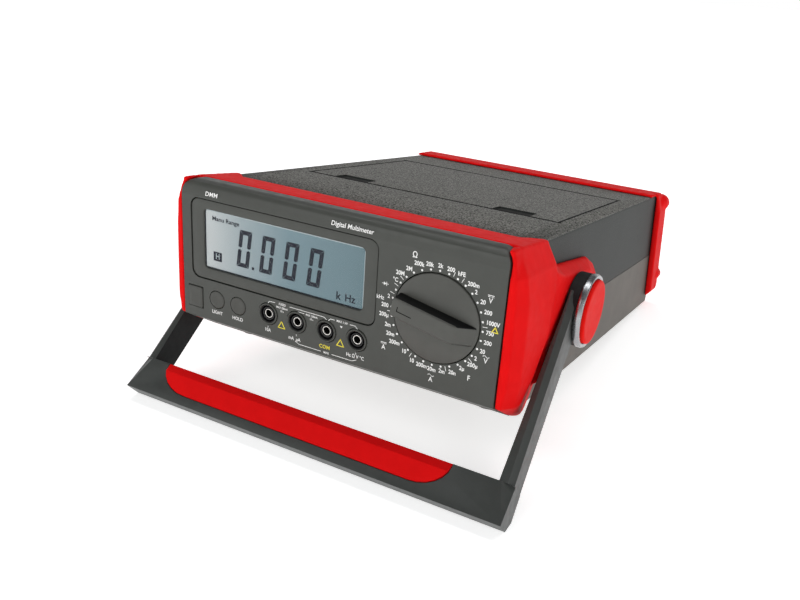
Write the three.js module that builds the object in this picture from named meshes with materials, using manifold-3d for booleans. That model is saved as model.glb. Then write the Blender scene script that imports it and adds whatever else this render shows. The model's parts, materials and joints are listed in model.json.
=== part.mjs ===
// Bench multimeter on its folding handle.
//
// Case frame, in which every piece is drawn: origin on the front panel's plane at the height of the
// range knob, half way across; +X to the right of someone facing the panel, +Y to the back, +Z up.
// The case stands tipped back on its handle, so at the end the whole group is turned about X and
// moved until it rests on Z = 0 with the middle of its box on the Z axis.  Lengths in millimetres.
import * as THREE from 'three';
import { mergeVertices } from 'three/addons/utils/BufferGeometryUtils.js';
import Module from 'manifold-3d';

const wasm = await Module();
wasm.setup();

// ---------------------------------------------------------------- driving dimensions
const DEG = Math.PI / 180;
const GAP = 0.35;                 // clearance kept between pieces that touch
const WALL = 2.6;                 // moulded case wall

const CASE_HALF = 98;             // half the width over the case sides
const CASE_TOP = 40.3;
const CASE_BOTTOM = -51.1;
const CASE_SPLIT = -8.7;          // height of the joint between the upper and lower shells
const CASE_FRONT = 12.4;
const CASE_TILT = 6;              // degrees the case is tipped back when it stands on the handle

const PANEL_LEAN = 6.5;           // degrees the panel's top leans forward in the case frame
const PANEL_BOTTOM = -38.4;
const PANEL_THICK = 3;
const PANEL_CORNER = 8;
const ROLL_START = 33;            // height where the panel starts to roll back to the top
const ROLL_END = 42.3;
const ROLL_BACK = 8;              // depth where the roll meets the bumper

const KNOB_X = 63.3;
const KNOB_RADIUS = 23.3;
const KNOB_LIFT = 0.8;            // knob disc above the panel
const GRIP_LIFT = 8.6;            // knob bar above the panel
const GRIP_HALF = 5;
const GRIP_ANGLE = 281;           // degrees clockwise from straight up to the pointer
const LCD = { left: -91.5, right: 29, bottom: -14, top: 32.4 };
const GLASS = { left: -83, right: 21, bottom: -6.6, top: 27.4 };
const JACK_X = [-38, -19, 0, 19]; // 19 mm apart, the standard spacing of banana sockets
const JACK_Z = -24;
const JACK_RADIUS = 6.2;
const POWER = { x: -89.4, z: -26.4, width: 10, height: 12.6 };
const ROUND_BUTTONS = { light: -74, hold: -59 };
const BUTTON_Z = -25;
const BUTTON_RADIUS = 5.2;
const BOARD_DEPTH = 24;           // main board behind the panel face

const BUMPER_IN = 98.4;           // inner face of the soft bumpers beside the case
const STRIP_BACK = { middle: 34, corner: 44 };  // rear edge of the front bumper on the case top
const EAR_OUT = 106.6;            // outer face of the bumper's ear under the hub
const REAR = { at: 312, lean: 22, sleeve: 9, depth: 22 };  // from the rear bumper's front edge at Z = 0
const REAR_HALF = 103;
const REAR_FLANGE = { front: 281, back: 300, half: 98.4, top: 42.4, bevel: 1.2 };  // over the case top

const HUB = { y: 84, z: -0.7 };    // handle axis
const DRUM = { start: 107.1, end: 113.4, radius: 20.4 };
const RIM = { end: 117.4, radius: 20.7 };
const CAP = { start: 116.6, end: 119.2, radius: 18 };
const BOLT_RADIUS = 5;
const ARM_AT_HUB = { inner: 108.3, outer: 112.2, back: -1, front: 21 };
const ARM_AT_BAR = { inner: 110.4, outer: 118, back: 7.9, front: 25 };
const HANDLE_ANGLE = 50;          // degrees the arms point below the case's level
const BAR = { near: 109.6, far: 130.1, back: 7.8, front: 25.4, foot: 13.8 };
const BAR_HALF = { near: 118.2, far: 119 };
const GRIP_END = { left: -98.6, right: 85.6 };

const LID = { half: 84, front: 104, back: 234, thick: 2.4 };
const NOTCH = { x: 55, half: 12, depth: 13 };
const LID_PIN = { y: 231.7, z: 39, radius: 0.8, start: 83, end: 86 };  // moulded pins the lid turns on
const CELL = { radius: 13, length: 49, pitch: 27.4, rows: 3 };
const CELL_BAY = { front: 120, bottom: -47.5, top: -17.5 };

const ROUND = 32;                 // facets on large rounds
const SMALL = 16;                 // facets on small rounds

// ---------------------------------------------------------------- solids
const welded = geometry => {
  const bare = geometry.clone();
  bare.deleteAttribute('normal');
  bare.deleteAttribute('uv');
  return mergeVertices(bare, 1e-4);
};

const solid = geometry => {
  const closed = welded(geometry);
  const mesh = new wasm.Mesh({
    numProp: 3,
    vertProperties: new Float32Array(closed.attributes.position.array),
    triVerts: new Uint32Array(closed.index.array),
  });
  return new wasm.Manifold(mesh);
};

const geometryOf = body => {
  const mesh = body.getMesh();
  const geometry = new THREE.BufferGeometry();
  geometry.setAttribute('position', new THREE.BufferAttribute(new Float32Array(mesh.vertProperties), 3));
  geometry.setIndex(new THREE.BufferAttribute(new Uint32Array(mesh.triVerts), 1));
  geometry.computeVertexNormals();
  return geometry;
};

const join = bodies => bodies.reduce((whole, next) => whole.add(next));
const cut = (body, tools) => tools.reduce((rest, tool) => rest.subtract(tool), body);

// A box between two corners.
const block = (x0, x1, y0, y1, z0, z1) => {
  const box = new THREE.BoxGeometry(x1 - x0, y1 - y0, z1 - z0);
  box.translate((x0 + x1) / 2, (y0 + y1) / 2, (z0 + z1) / 2);
  return solid(box);
};

// Columns of a placement whose local axes are the three given ones.
const axes = (x, y, z, origin = [0, 0, 0]) =>
  new THREE.Matrix4()
    .makeBasis(new THREE.Vector3(...x), new THREE.Vector3(...y), new THREE.Vector3(...z))
    .setPosition(...origin);

// An outline of [u, v] points, or a Shape, pushed along the local Z axis of a placement.
const push = (outline, length, placement) => {
  const shape = outline instanceof THREE.Shape
    ? outline
    : new THREE.Shape(outline.map(([u, v]) => new THREE.Vector2(u, v)));
  const geometry = new THREE.ExtrudeGeometry(shape, { depth: length, bevelEnabled: false, curveSegments: 5 });
  geometry.applyMatrix4(placement);
  return solid(geometry);
};

// An outline in the Y-Z plane pushed from x0 to x1, and one in the X-Z plane pushed from y0 to y1.
const alongX = (outline, x0, x1) => push(outline, x1 - x0, axes([0, 1, 0], [0, 0, 1], [1, 0, 0], [x0, 0, 0]));
const alongY = (outline, y0, y1) => push(outline, y1 - y0, axes([1, 0, 0], [0, 0, 1], [0, -1, 0], [0, y1, 0]));
const alongZ = (outline, z0, z1) => push(outline, z1 - z0, axes([1, 0, 0], [0, 1, 0], [0, 0, 1], [0, 0, z0]));

// A turned piece: [radius, height] points, in either order, revolved about the placement's local Y axis.
const turned = (profile, sides, placement) => {
  const points = profile.map(([r, h]) => new THREE.Vector2(r, h));
  if (THREE.ShapeUtils.area(points) < 0) points.reverse();
  const geometry = new THREE.LatheGeometry(points, sides);
  geometry.applyMatrix4(placement);
  return solid(geometry);
};

const pin = (radius, h0, h1, sides, placement) =>
  turned([[0, h0], [radius, h0], [radius, h1], [0, h1]], sides, placement);

const ring = (inner, outer, h0, h1, sides, placement) =>
  turned([[inner, h0], [outer, h0], [outer, h1], [inner, h1], [inner, h0]], sides, placement);

const roundedRect = (x0, x1, z0, z1, corner, lower = corner) => {
  const shape = new THREE.Shape();
  shape.moveTo(x0 + lower, z0);
  shape.lineTo(x1 - lower, z0);
  shape.absarc(x1 - lower, z0 + lower, lower, -Math.PI / 2, 0);
  shape.lineTo(x1, z1 - corner);
  shape.absarc(x1 - corner, z1 - corner, corner, 0, Math.PI / 2);
  shape.lineTo(x0 + corner, z1);
  shape.absarc(x0 + corner, z1 - corner, corner, Math.PI / 2, Math.PI);
  shape.lineTo(x0, z0 + lower);
  shape.absarc(x0 + lower, z0 + lower, lower, Math.PI, 1.5 * Math.PI);
  return shape;
};

// Outlines stacked along a placement's local Z and skinned: each level is {z, points: [[x, y], ...]}.
const stacked = (levels, placement = new THREE.Matrix4()) => {
  const count = levels[0].points.length;
  const positions = levels.flatMap(({ z, points }) => points.flatMap(([x, y]) => [x, y, z]));
  const index = [];
  for (let level = 0; level + 1 < levels.length; level += 1) {
    for (let side = 0; side < count; side += 1) {
      const next = (side + 1) % count;
      const a = level * count + side;
      const b = level * count + next;
      index.push(a, b, b + count, a, b + count, a + count);
    }
  }
  const top = (levels.length - 1) * count;
  const cap = points => THREE.ShapeUtils.triangulateShape(points.map(([x, y]) => new THREE.Vector2(x, y)), []);
  cap(levels[0].points).forEach(([a, b, c]) => index.push(a, c, b));
  cap(levels.at(-1).points).forEach(([a, b, c]) => index.push(top + a, top + b, top + c));
  const geometry = new THREE.BufferGeometry();
  geometry.setAttribute('position', new THREE.Float32BufferAttribute(positions, 3));
  geometry.setIndex(index);
  geometry.applyMatrix4(placement);
  return solid(geometry);
};

const mirrored = body => {
  const geometry = geometryOf(body);
  geometry.applyMatrix4(new THREE.Matrix4().makeScale(-1, 1, 1));
  const order = geometry.index.array;
  for (let i = 0; i < order.length; i += 3) [order[i], order[i + 1]] = [order[i + 1], order[i]];
  return solid(geometry);
};

// ---------------------------------------------------------------- placements
// Panel placement: local X across, local Y into the case, local Z up the leaning panel.
const leaning = new THREE.Matrix4().makeRotationX(PANEL_LEAN * DEG);
const onPanel = body => {
  const geometry = geometryOf(body);
  geometry.applyMatrix4(leaning);
  return solid(geometry);
};
const panelY = z => -z * Math.tan(PANEL_LEAN * DEG);

// Rear placement: local Y runs back from the rear bumper's front edge, which leans forward at its top.
const rearSlope = Math.tan(REAR.lean * DEG);
const rearward = new THREE.Matrix4().set(
  1, 0, 0, 0, 0, 1, -rearSlope, REAR.at, 0, 0, 1, 0, 0, 0, 0, 1);
const atRear = body => {
  const geometry = geometryOf(body);
  geometry.applyMatrix4(rearward);
  return solid(geometry);
};

// The same for pieces that stand square on the leaning rear panel.
const squared = new THREE.Matrix4().makeTranslation(0, REAR.at, 0)
  .multiply(new THREE.Matrix4().makeRotationX(REAR.lean * DEG));
const squareAtRear = body => {
  const geometry = geometryOf(body);
  geometry.applyMatrix4(squared);
  return solid(geometry);
};
const squareDepth = depth => depth * Math.cos(REAR.lean * DEG);

// A turned piece on the panel, its heights measured into the case from the panel face.
const inPanel = (x, z) => axes([1, 0, 0], [0, 1, 0], [0, 0, 1], [x, 0, z]);

// A turned piece on a line across the case, its heights measured outward from the middle.
const across = (side, y, z) => axes([0, 0, 1], [side, 0, 0], [0, side, 0], [0, y, z]);
const aboutHub = side => across(side, HUB.y, HUB.z);

// Handle section coordinates: how far down the arm, and how far to the arm's front face.
const armWay = [-Math.cos(HANDLE_ANGLE * DEG), -Math.sin(HANDLE_ANGLE * DEG)];
const faceWay = [-Math.sin(HANDLE_ANGLE * DEG), Math.cos(HANDLE_ANGLE * DEG)];
const onHandle = (reach, face) => [
  HUB.y + reach * armWay[0] + face * faceWay[0],
  HUB.z + reach * armWay[1] + face * faceWay[1],
];

// The bench, as the case sees it: a plane through the handle bar's foot, rising to the back.
const benchHeight = y => {
  const [footY, footZ] = onHandle(BAR.far, BAR.foot);
  return footZ + (y - footY) * Math.tan(CASE_TILT * DEG);
};

// ---------------------------------------------------------------- node list
const meter = new THREE.Group();
const RED = { color: 0xe01017, roughness: 0.5, metalness: 0 };
const CHARCOAL = { color: 0x3e4240, roughness: 0.55, metalness: 0 };
const SHELL = { color: 0x53564f, roughness: 0.7, metalness: 0 };
const BLACK = { color: 0x101112, roughness: 0.5, metalness: 0 };
const METAL = { color: 0xb9bcc0, roughness: 0.3, metalness: 1 };
const BOARD = { color: 0x1d5a3a, roughness: 0.6, metalness: 0 };
const CLEAR = { color: 0xdfe8ea, roughness: 0.05, metalness: 0 };

const addNode = (name, look, body) => {
  const mesh = new THREE.Mesh(geometryOf(body), new THREE.MeshStandardMaterial(look));
  mesh.name = name;
  meter.add(mesh);
};

// ---------------------------------------------------------------- case shells
const CHIN_BACK = 31;
const chinHeight = y => PANEL_BOTTOM + (CASE_BOTTOM - PANEL_BOTTOM) * ((y - 4.4) / (CHIN_BACK - 4.4));
const TRAY = { half: 82, front: 106, back: 232, floor: 6, top: 37.3, wall: 2, flange: 5 };
const HUB_BORE = BOLT_RADIUS + GAP;
const bayBack = CELL_BAY.front + CELL.rows * CELL.pitch;

function hubBores() {
  const bore = [[0, 90], [HUB_BORE, 90], [HUB_BORE, 108], [0, 108]];
  return [turned(bore, SMALL, aboutHub(1)), turned(bore, SMALL, aboutHub(-1))];
}

// Everything behind the plane where the case shells end.
const behindCase = () => atRear(block(-200, 200, REAR.sleeve, 200, -100, 100));

// Plan of the bumper strip on the case top: narrow in the middle, wider at the corners.
function stripPlan(grow) {
  const { middle, corner } = STRIP_BACK;
  const half = BUMPER_IN + 1;
  return [[-half, ROLL_BACK + GAP - grow], [half, ROLL_BACK + GAP - grow], [half, corner + grow],
    [95 - grow, corner + grow], [86 - grow, middle + grow], [-86 + grow, middle + grow],
    [-95 + grow, corner + grow], [-half, corner + grow]];
}

const CASE_LENGTH = 340;          // drawn long, then cut off where the rear panel stands

function upperCase() {
  const outer = block(-CASE_HALF, CASE_HALF, CASE_FRONT, CASE_LENGTH, CASE_SPLIT, CASE_TOP);
  const inner = block(-CASE_HALF + WALL, CASE_HALF - WALL, 0, CASE_LENGTH + 1, CASE_SPLIT - 1, CASE_TOP - WALL);
  const stripBed = alongZ(stripPlan(GAP), CASE_TOP - 2.2, CASE_TOP + 1);
  const lip = block(-CASE_HALF + WALL, CASE_HALF - WALL, CASE_FRONT, STRIP_BACK.corner + 3, 35.6, CASE_TOP - WALL + 0.1);
  const lidHole = block(-LID.half - GAP, LID.half + GAP, LID.front - GAP, LID.back + GAP, 30, CASE_TOP + 1);
  const shell = cut(join([outer.subtract(inner), lip]), [stripBed, lidHole, behindCase()]);
  const pinHoles = [-1, 1].map(side =>
    pin(LID_PIN.radius + GAP, LID_PIN.start, LID_PIN.end + GAP, SMALL, across(side, LID_PIN.y, LID_PIN.z)));
  return cut(shell, [...hubBores(), ...pinHoles]);
}

function lowerCase() {
  const side = [
    [CASE_FRONT, CASE_SPLIT - GAP], [CASE_FRONT, chinHeight(CASE_FRONT)], [CHIN_BACK, CASE_BOTTOM],
    [CASE_LENGTH, CASE_BOTTOM], [CASE_LENGTH, CASE_SPLIT - GAP],
  ];
  const hollow = [
    [CASE_FRONT - 1, CASE_SPLIT + 1], [CASE_FRONT - 1, chinHeight(CASE_FRONT) + WALL + 0.6],
    [CHIN_BACK + 0.6, CASE_BOTTOM + WALL], [CASE_LENGTH + 1, CASE_BOTTOM + WALL], [CASE_LENGTH + 1, CASE_SPLIT + 1],
  ];
  const shell = alongX(side, -CASE_HALF, CASE_HALF)
    .subtract(alongX(hollow, -CASE_HALF + WALL, CASE_HALF - WALL));
  const doorHole = block(-58, 58, CELL_BAY.front - 4, bayBack + 8, CASE_BOTTOM - 1, CASE_BOTTOM + WALL + 1);
  const screwHoles = screwPlaces.map(([x, y]) =>
    pin(2.2, CASE_BOTTOM - 1, CASE_BOTTOM + WALL + 1, SMALL, upright(x, y)));
  return cut(shell, [doorHole, behindCase(), ...screwHoles]);
}

const upright = (x, y) => axes([1, 0, 0], [0, 0, 1], [0, -1, 0], [x, y, 0]);
const screwPlaces = [[-82, 70], [82, 70], [-82, 270], [82, 270]];

function caseScrew([x, y]) {
  const profile = [[0, CASE_BOTTOM - 1.9], [3.6, CASE_BOTTOM - 1.9], [3.6, CASE_BOTTOM - GAP],
    [1.8, CASE_BOTTOM - GAP], [1.8, -36], [0, -36]];
  return turned(profile, SMALL, upright(x, y));
}

function frontFoot(x) {
  const profile = [[0, CASE_BOTTOM - 4.8], [7, CASE_BOTTOM - 4.8], [8, CASE_BOTTOM - GAP], [0, CASE_BOTTOM - GAP]];
  return turned(profile, SMALL, upright(x, 48));
}

// ---------------------------------------------------------------- soft bumpers
// One cheek level: where the outline turns, from the panel's edge round to the case side.
function cheekLevel(z, front, groove, edge, pad, step, back) {
  return {
    z,
    points: [[BUMPER_IN, front], groove, edge, pad, step, [BUMPER_IN + 0.4, back], [BUMPER_IN, back]],
  };
}

function cheek() {
  const at = (z, forward) => panelY(z) + forward;
  return stacked([
    cheekLevel(-50.9, 31, [99.2, 31], [101.6, 34], [102.2, 38], [101.6, 42], 54),
    cheekLevel(-45, 18.6, [100, 17.5], [103.6, 21], [104.6, 25], [104, 30], 60),
    cheekLevel(-38.4, 4.6, [101.4, 5], [105.8, 13.5], [106.6, 20], [105.8, 25], 64),
    cheekLevel(-27, at(-27, 0), [103, at(-27, 0.6)], [107.2, at(-27, 9.5)], [107.6, 30], [106.4, 34], 66),
    cheekLevel(-8, at(-8, 0), [102.9, at(-8, 0.6)], [107.2, at(-8, 9.5)], [107.8, 43], [106.4, 46], 66),
    cheekLevel(16, at(16, 0), [102.5, at(16, 0.6)], [106.6, at(16, 9)], [107.2, 44], [106, 47], 63),
    cheekLevel(29, at(29, 0), [101.6, at(29, 0.6)], [104.8, at(29, 8)], [105.4, 45], [104.4, 47.5], 57),
    cheekLevel(38, at(38, 1.4), [99.8, at(38, 2)], [100.4, at(38, 9)], [100.4, 43], [100.2, 44], 47.5),
    cheekLevel(41.3, 3, [98.8, 3.6], [98.9, 8], [98.9, 42], [98.8, 43], 44),
  ]);
}

// The flat ear under the handle's drum, from the cheek back past the hub, with a bevel all round.
const earOutline = (nose, shrink) => [
  [46, -39 + shrink], [66, -35 + shrink], [nose - 28, -25 + shrink], [nose - 10, -19 + shrink],
  [nose, -10], [nose, 2], [nose - 10, 15.5 - shrink], [nose - 26, 21.6 - shrink], [60, 26 - shrink],
  [46, 30 - shrink],
];

function ear() {
  const outward = axes([0, 1, 0], [0, 0, 1], [1, 0, 0]);
  return stacked([
    { z: BUMPER_IN, points: earOutline(145, 0) },
    { z: 101, points: earOutline(143, 0.6) },
    { z: EAR_OUT, points: earOutline(134, 5) },
  ], outward);
}

function frontBumper() {
  const side = join([cheek(), ear()]);
  const strip = alongX(
    [[ROLL_BACK + GAP, CASE_TOP - 1.8], [ROLL_BACK + GAP, ROLL_END + 0.2], [STRIP_BACK.corner, CASE_TOP + 0.9],
      [STRIP_BACK.corner, CASE_TOP - 1.8]],
    -BUMPER_IN - 0.5, BUMPER_IN + 0.5).intersect(alongZ(stripPlan(0), 30, 50));
  const corner = block(86, BUMPER_IN + 0.5, -2.6, ROLL_BACK + GAP, 32, ROLL_END);
  const opening = alongY(
    roundedRect(-CASE_HALF - GAP, CASE_HALF + GAP, -70, ROLL_END + 3, PANEL_CORNER + 3, 1), -20, ROLL_BACK + GAP);
  const body = join([side, mirrored(side), strip, corner, mirrored(corner)]);
  const caseRoom = block(-CASE_HALF - GAP, CASE_HALF + GAP, ROLL_BACK, 160, -60, CASE_TOP - 1.9);
  return cut(body, [opening, caseRoom, ...hubBores()]);
}

// A rounded knuckle at a corner of the rear bumper, which keeps the rear panel off a wall.
function horn(x, z, radius) {
  const back = REAR.depth;
  const sweep = [[0, back - 14], [radius - 2, back - 13], [radius, back - 7], [radius, back + 1],
    [radius - 1.6, back + 3.5], [0, back + 3.5]];
  return turned(sweep, SMALL, axes([1, 0, 0], [0, 1, 0], [0, 0, 1], [x, 0, z]));
}

const WINDOW = { half: 90, bottom: -41, top: 31.4 };
const REAR_FEET = { x: 82, half: 7, front: 334, back: 346 };

function rearBumper() {
  const half = REAR_HALF;
  const outline = [[-half, -40], [-half, -30], [-half + 0.4, 28], [-half + 3.4, 42.4], [half - 3.4, 42.4],
    [half - 0.4, 28], [half, -30], [half, -40], [half - 11, -53], [-half + 11, -53]];
  const body = alongY(outline, 0, REAR.depth);
  const lowEdge = alongX([[REAR.depth - 12, -60], [REAR.depth + 1, -34], [REAR.depth + 9, -60]], -120, 120);
  const highEdge = alongX([[REAR.sleeve + 1, 45], [REAR.depth + 1, 31], [REAR.depth + 9, 45]], -120, 120);
  const window = block(-WINDOW.half, WINDOW.half, -1, REAR.depth + 1, WINDOW.bottom, WINDOW.top);
  const horns = [-1, 1].flatMap(side => [horn(side * 98, 34, 6.6), horn(side * 99.4, -27, 5.4)]);
  const frame = atRear(join([cut(body, [lowEdge, highEdge, window]), ...horns]));
  const cover = REAR_FLANGE;
  const flange = alongX([[cover.front, CASE_TOP], [cover.front, cover.top - cover.bevel],
    [cover.front + cover.bevel, cover.top], [cover.back, cover.top], [cover.back, CASE_TOP]], -cover.half, cover.half);
  const { x, half: footHalf, front, back } = REAR_FEET;
  const footSide = [[front, -50], [front, benchHeight(front)], [back, benchHeight(back)], [back, -48]];
  const feet = [-1, 1].map(side => alongX(footSide, side * x - footHalf, side * x + footHalf));
  const throat = block(-CASE_HALF - GAP, CASE_HALF + GAP, 200, CASE_LENGTH + 20, CASE_BOTTOM - GAP,
    CASE_TOP + GAP - 0.1).intersect(atRear(block(-200, 200, -80, REAR.sleeve + 3.6, -100, 100)));
  return cut(join([frame, flange, ...feet]), [throat]);
}

function rearPanel() {
  const plate = atRear(block(-97.6, 97.6, REAR.sleeve + GAP, REAR.sleeve + 3.2, -60, 60))
    .intersect(block(-97.6, 97.6, 200, CASE_LENGTH, CASE_BOTTOM + 0.2, CASE_TOP - 0.2));
  const inletHole = squareAtRear(block(INLET.x - 14.4, INLET.x + 14.4, 0, 20, INLET.z - 10.4, INLET.z + 10.4));
  return plate.subtract(inletHole);
}

// ---------------------------------------------------------------- front panel
const panelProfile = [
  [panelY(PANEL_BOTTOM), PANEL_BOTTOM], [panelY(ROLL_START), ROLL_START], [-3.6, 36], [-2.8, 38.6],
  [-0.9, 40.6], [2.6, 41.8], [ROLL_BACK, ROLL_END], [ROLL_BACK, 39.3], [2.8, 38.9], [0.6, 37.6],
  [-0.6, 35.7], [panelY(ROLL_START) + PANEL_THICK, ROLL_START],
  [panelY(PANEL_BOTTOM) + PANEL_THICK, PANEL_BOTTOM + PANEL_THICK],
  [CASE_FRONT - GAP, chinHeight(CASE_FRONT) + PANEL_THICK], [CASE_FRONT - GAP, chinHeight(CASE_FRONT)],
];

const buttonRecess = (x, z, radius) => pin(radius, -20, 12, SMALL, inPanel(x, z));

function frontPanel() {
  const face = alongX(panelProfile, -CASE_HALF, CASE_HALF);
  const corners = alongY(
    roundedRect(-CASE_HALF, CASE_HALF, -70, ROLL_END, PANEL_CORNER, 1), -20, 40);
  const holes = [
    block(LCD.left - GAP, LCD.right + GAP, -20, 12, LCD.bottom - GAP, LCD.top + GAP),
    pin(KNOB_RADIUS + 0.6, -20, 12, ROUND, inPanel(KNOB_X, 0)),
    block(POWER.x - POWER.width / 2 - GAP, POWER.x + POWER.width / 2 + GAP, -20, 12,
      POWER.z - POWER.height / 2 - GAP, POWER.z + POWER.height / 2 + GAP),
    ...Object.values(ROUND_BUTTONS).map(x => buttonRecess(x, BUTTON_Z, BUTTON_RADIUS + GAP)),
    ...JACK_X.map(x => buttonRecess(x, JACK_Z, JACK_RADIUS + GAP)),
  ].map(onPanel);
  return cut(face.intersect(corners), holes);
}

// ---------------------------------------------------------------- display
function lcdBezel() {
  const frame = block(LCD.left, LCD.right, 0.5, 5, LCD.bottom, LCD.top);
  const step = block(GLASS.left - 3, GLASS.right + 3, 0, 2.2, GLASS.bottom - 2.5, GLASS.top + 2.5);
  const opening = block(GLASS.left, GLASS.right, 0, 6, GLASS.bottom, GLASS.top);
  return onPanel(cut(frame, [step, opening]));
}

const displaySlab = (y0, y1, grow) =>
  onPanel(block(GLASS.left - grow, GLASS.right + grow, y0, y1, GLASS.bottom - grow, GLASS.top + grow));

function lcdCarrier() {
  const tray = block(GLASS.left - 5, GLASS.right + 5, 5.4, BOARD_DEPTH - GAP, GLASS.bottom - 5, GLASS.top + 4.4);
  const pocket = block(GLASS.left - 2.5, GLASS.right + 2.5, 5, 14, GLASS.bottom - 2.5, GLASS.top + 2.5);
  const relief = block(GLASS.left + 6, GLASS.right - 6, 10, 40, GLASS.bottom + 4, GLASS.top - 4);
  return onPanel(cut(tray, [pocket, relief]));
}

// ---------------------------------------------------------------- buttons, sockets and knob
const POWER_TRAVEL = 3;

function powerButton() {
  const { x, z, width, height } = POWER;
  const cap = block(x - width / 2, x + width / 2, -1.2, 5, z - height / 2, z + height / 2);
  const stem = block(x - 2, x + 2, 4.9, 9, z - 2, z + 2);
  return onPanel(join([cap, stem]));
}

function powerSwitch() {
  const { x, z } = POWER;
  return onPanel(block(x - 5, x + 5, 9 + POWER_TRAVEL + GAP, BOARD_DEPTH - GAP, z - 5, z + 5));
}

function roundButton(x) {
  const profile = [[0, -0.3], [BUTTON_RADIUS - 0.6, -0.3], [BUTTON_RADIUS, 0.2], [BUTTON_RADIUS, 5],
    [2, 5], [2, 15], [0, 15]];
  return onPanel(turned(profile, SMALL, inPanel(x, BUTTON_Z)));
}

const keySwitch = x => onPanel(block(x - 3, x + 3, 17, BOARD_DEPTH - GAP, BUTTON_Z - 3, BUTTON_Z + 3));

const JACK_DEPTH = 20;
const SLEEVE = { inner: 2.05, outer: 3.7, front: 1.2 };

function jackBody(x) {
  const bore = SLEEVE.outer + GAP;
  const profile = [[0, JACK_DEPTH], [bore, JACK_DEPTH], [bore, -0.8], [JACK_RADIUS - 0.6, -0.8],
    [JACK_RADIUS, -0.2], [JACK_RADIUS, BOARD_DEPTH - GAP], [0, BOARD_DEPTH - GAP]];
  return onPanel(turned(profile, SMALL, inPanel(x, JACK_Z)));
}

function jackSleeve(x) {
  const profile = [[SLEEVE.inner, SLEEVE.front], [SLEEVE.outer, SLEEVE.front], [SLEEVE.outer, JACK_DEPTH - GAP],
    [0, JACK_DEPTH - GAP], [0, JACK_DEPTH - 2], [SLEEVE.inner, JACK_DEPTH - 2], [SLEEVE.inner, SLEEVE.front]];
  return onPanel(turned(profile, SMALL, inPanel(x, JACK_Z)));
}

const knobSpin = axes([1, 0, 0], [0, 1, 0], [0, 0, 1], [KNOB_X, 0, 0])
  .multiply(new THREE.Matrix4().makeRotationY(GRIP_ANGLE * DEG));

function rangeKnob() {
  const disc = turned(
    [[0, 6], [7, 6], [7, 4.6], [KNOB_RADIUS, 4.6], [KNOB_RADIUS, -KNOB_LIFT + 0.6],
      [KNOB_RADIUS - 0.6, -KNOB_LIFT], [0, -KNOB_LIFT]],
    ROUND, inPanel(KNOB_X, 0));
  const end = KNOB_RADIUS - 1.4;
  const bar = push(
    [[-end, -1], [-end + 0.8, GRIP_LIFT - 1], [-end + 2, GRIP_LIFT], [end - 9, GRIP_LIFT],
      [end - 7, GRIP_LIFT - 1], [end, -1]],
    GRIP_HALF * 2,
    knobSpin.clone().multiply(axes([0, 0, 1], [0, -1, 0], [1, 0, 0], [-GRIP_HALF, 0, 0])));
  return onPanel(join([disc, bar]));
}

function switchRotor() {
  return onPanel(turned(
    [[0, 6 + GAP], [6, 6 + GAP], [6, 12], [20, 12], [20, BOARD_DEPTH - 1], [0, BOARD_DEPTH - 1]],
    ROUND, inPanel(KNOB_X, 0)));
}

// ---------------------------------------------------------------- electronics
const FUSES = [{ x: 40, length: 20, radius: 2.6 }, { x: 40, length: 30, radius: 3.2 }];
const FUSE_DEPTH = BOARD_DEPTH + 7.5;
const fuseHeight = index => 18 - index * 16;

function mainBoard() {
  const plate = block(-94, 94, BOARD_DEPTH, BOARD_DEPTH + 1.6, -33, 32);
  const clips = FUSES.flatMap(({ x, length, radius }, index) => [-1, 1].map(side => {
    const middle = x + side * (length / 2 - 3);
    const z = fuseHeight(index);
    return block(middle - 2, middle + 2, BOARD_DEPTH + 1.5, FUSE_DEPTH - radius - GAP, z - radius, z + radius);
  }));
  return onPanel(join([plate, ...clips]));
}

function fuse({ x, length, radius }, index) {
  const lengthwise = axes([0, 1, 0], [1, 0, 0], [0, 0, -1], [x, FUSE_DEPTH, fuseHeight(index)]);
  const half = length / 2;
  const profile = [[0, -half], [radius, -half], [radius, -half + 5], [radius - 0.3, -half + 5],
    [radius - 0.3, half - 5], [radius, half - 5], [radius, half], [0, half]];
  return onPanel(turned(profile, SMALL, lengthwise));
}

const INLET = { x: -58, z: -20 };
const TRANSFORMER = { x: 30, y: 272, floor: -44 };

function transformerCore() {
  const { x, y, floor } = TRANSFORMER;
  const frame = block(x - 28, x + 28, y - 10, y + 10, floor, floor + 46);
  const windows = [-1, 1].map(side =>
    block(x + side * 14 - 5.5, x + side * 14 + 5.5, y - 11, y + 11, floor + 9, floor + 37));
  return cut(frame, windows);
}

function transformerCoil() {
  const { x, y, floor } = TRANSFORMER;
  const bobbin = block(x - 19, x + 19, y - 18, y + 18, floor + 9.4, floor + 36.6);
  const leg = block(x - 8.9, x + 8.9, y - 10.4, y + 10.4, floor + 9, floor + 37.1);
  return bobbin.subtract(leg);
}

function powerBoard() {
  return block(-76, 76, 236, 300, -47, -45.4);
}

function mainsInlet() {
  const { x, z } = INLET;
  const face = squareDepth(REAR.sleeve + 3.2) + GAP;
  const flange = block(x - 17, x + 17, face, face + 2, z - 13, z + 13);
  const body = block(x - 14, x + 14, face - 26, face + 0.1, z - 10, z + 10);
  const socket = block(x - 12, x + 12, face - 18, face + 3, z - 8, z + 8);
  const blades = [[-7, -1.5], [0, 2.5], [7, -1.5]].map(([dx, dz]) =>
    block(x + dx - 1, x + dx + 1, face - 19, face - 3, z + dz - 2.5, z + dz + 2.5));
  return squareAtRear(join([cut(join([flange, body]), [socket]), ...blades]));
}

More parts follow.
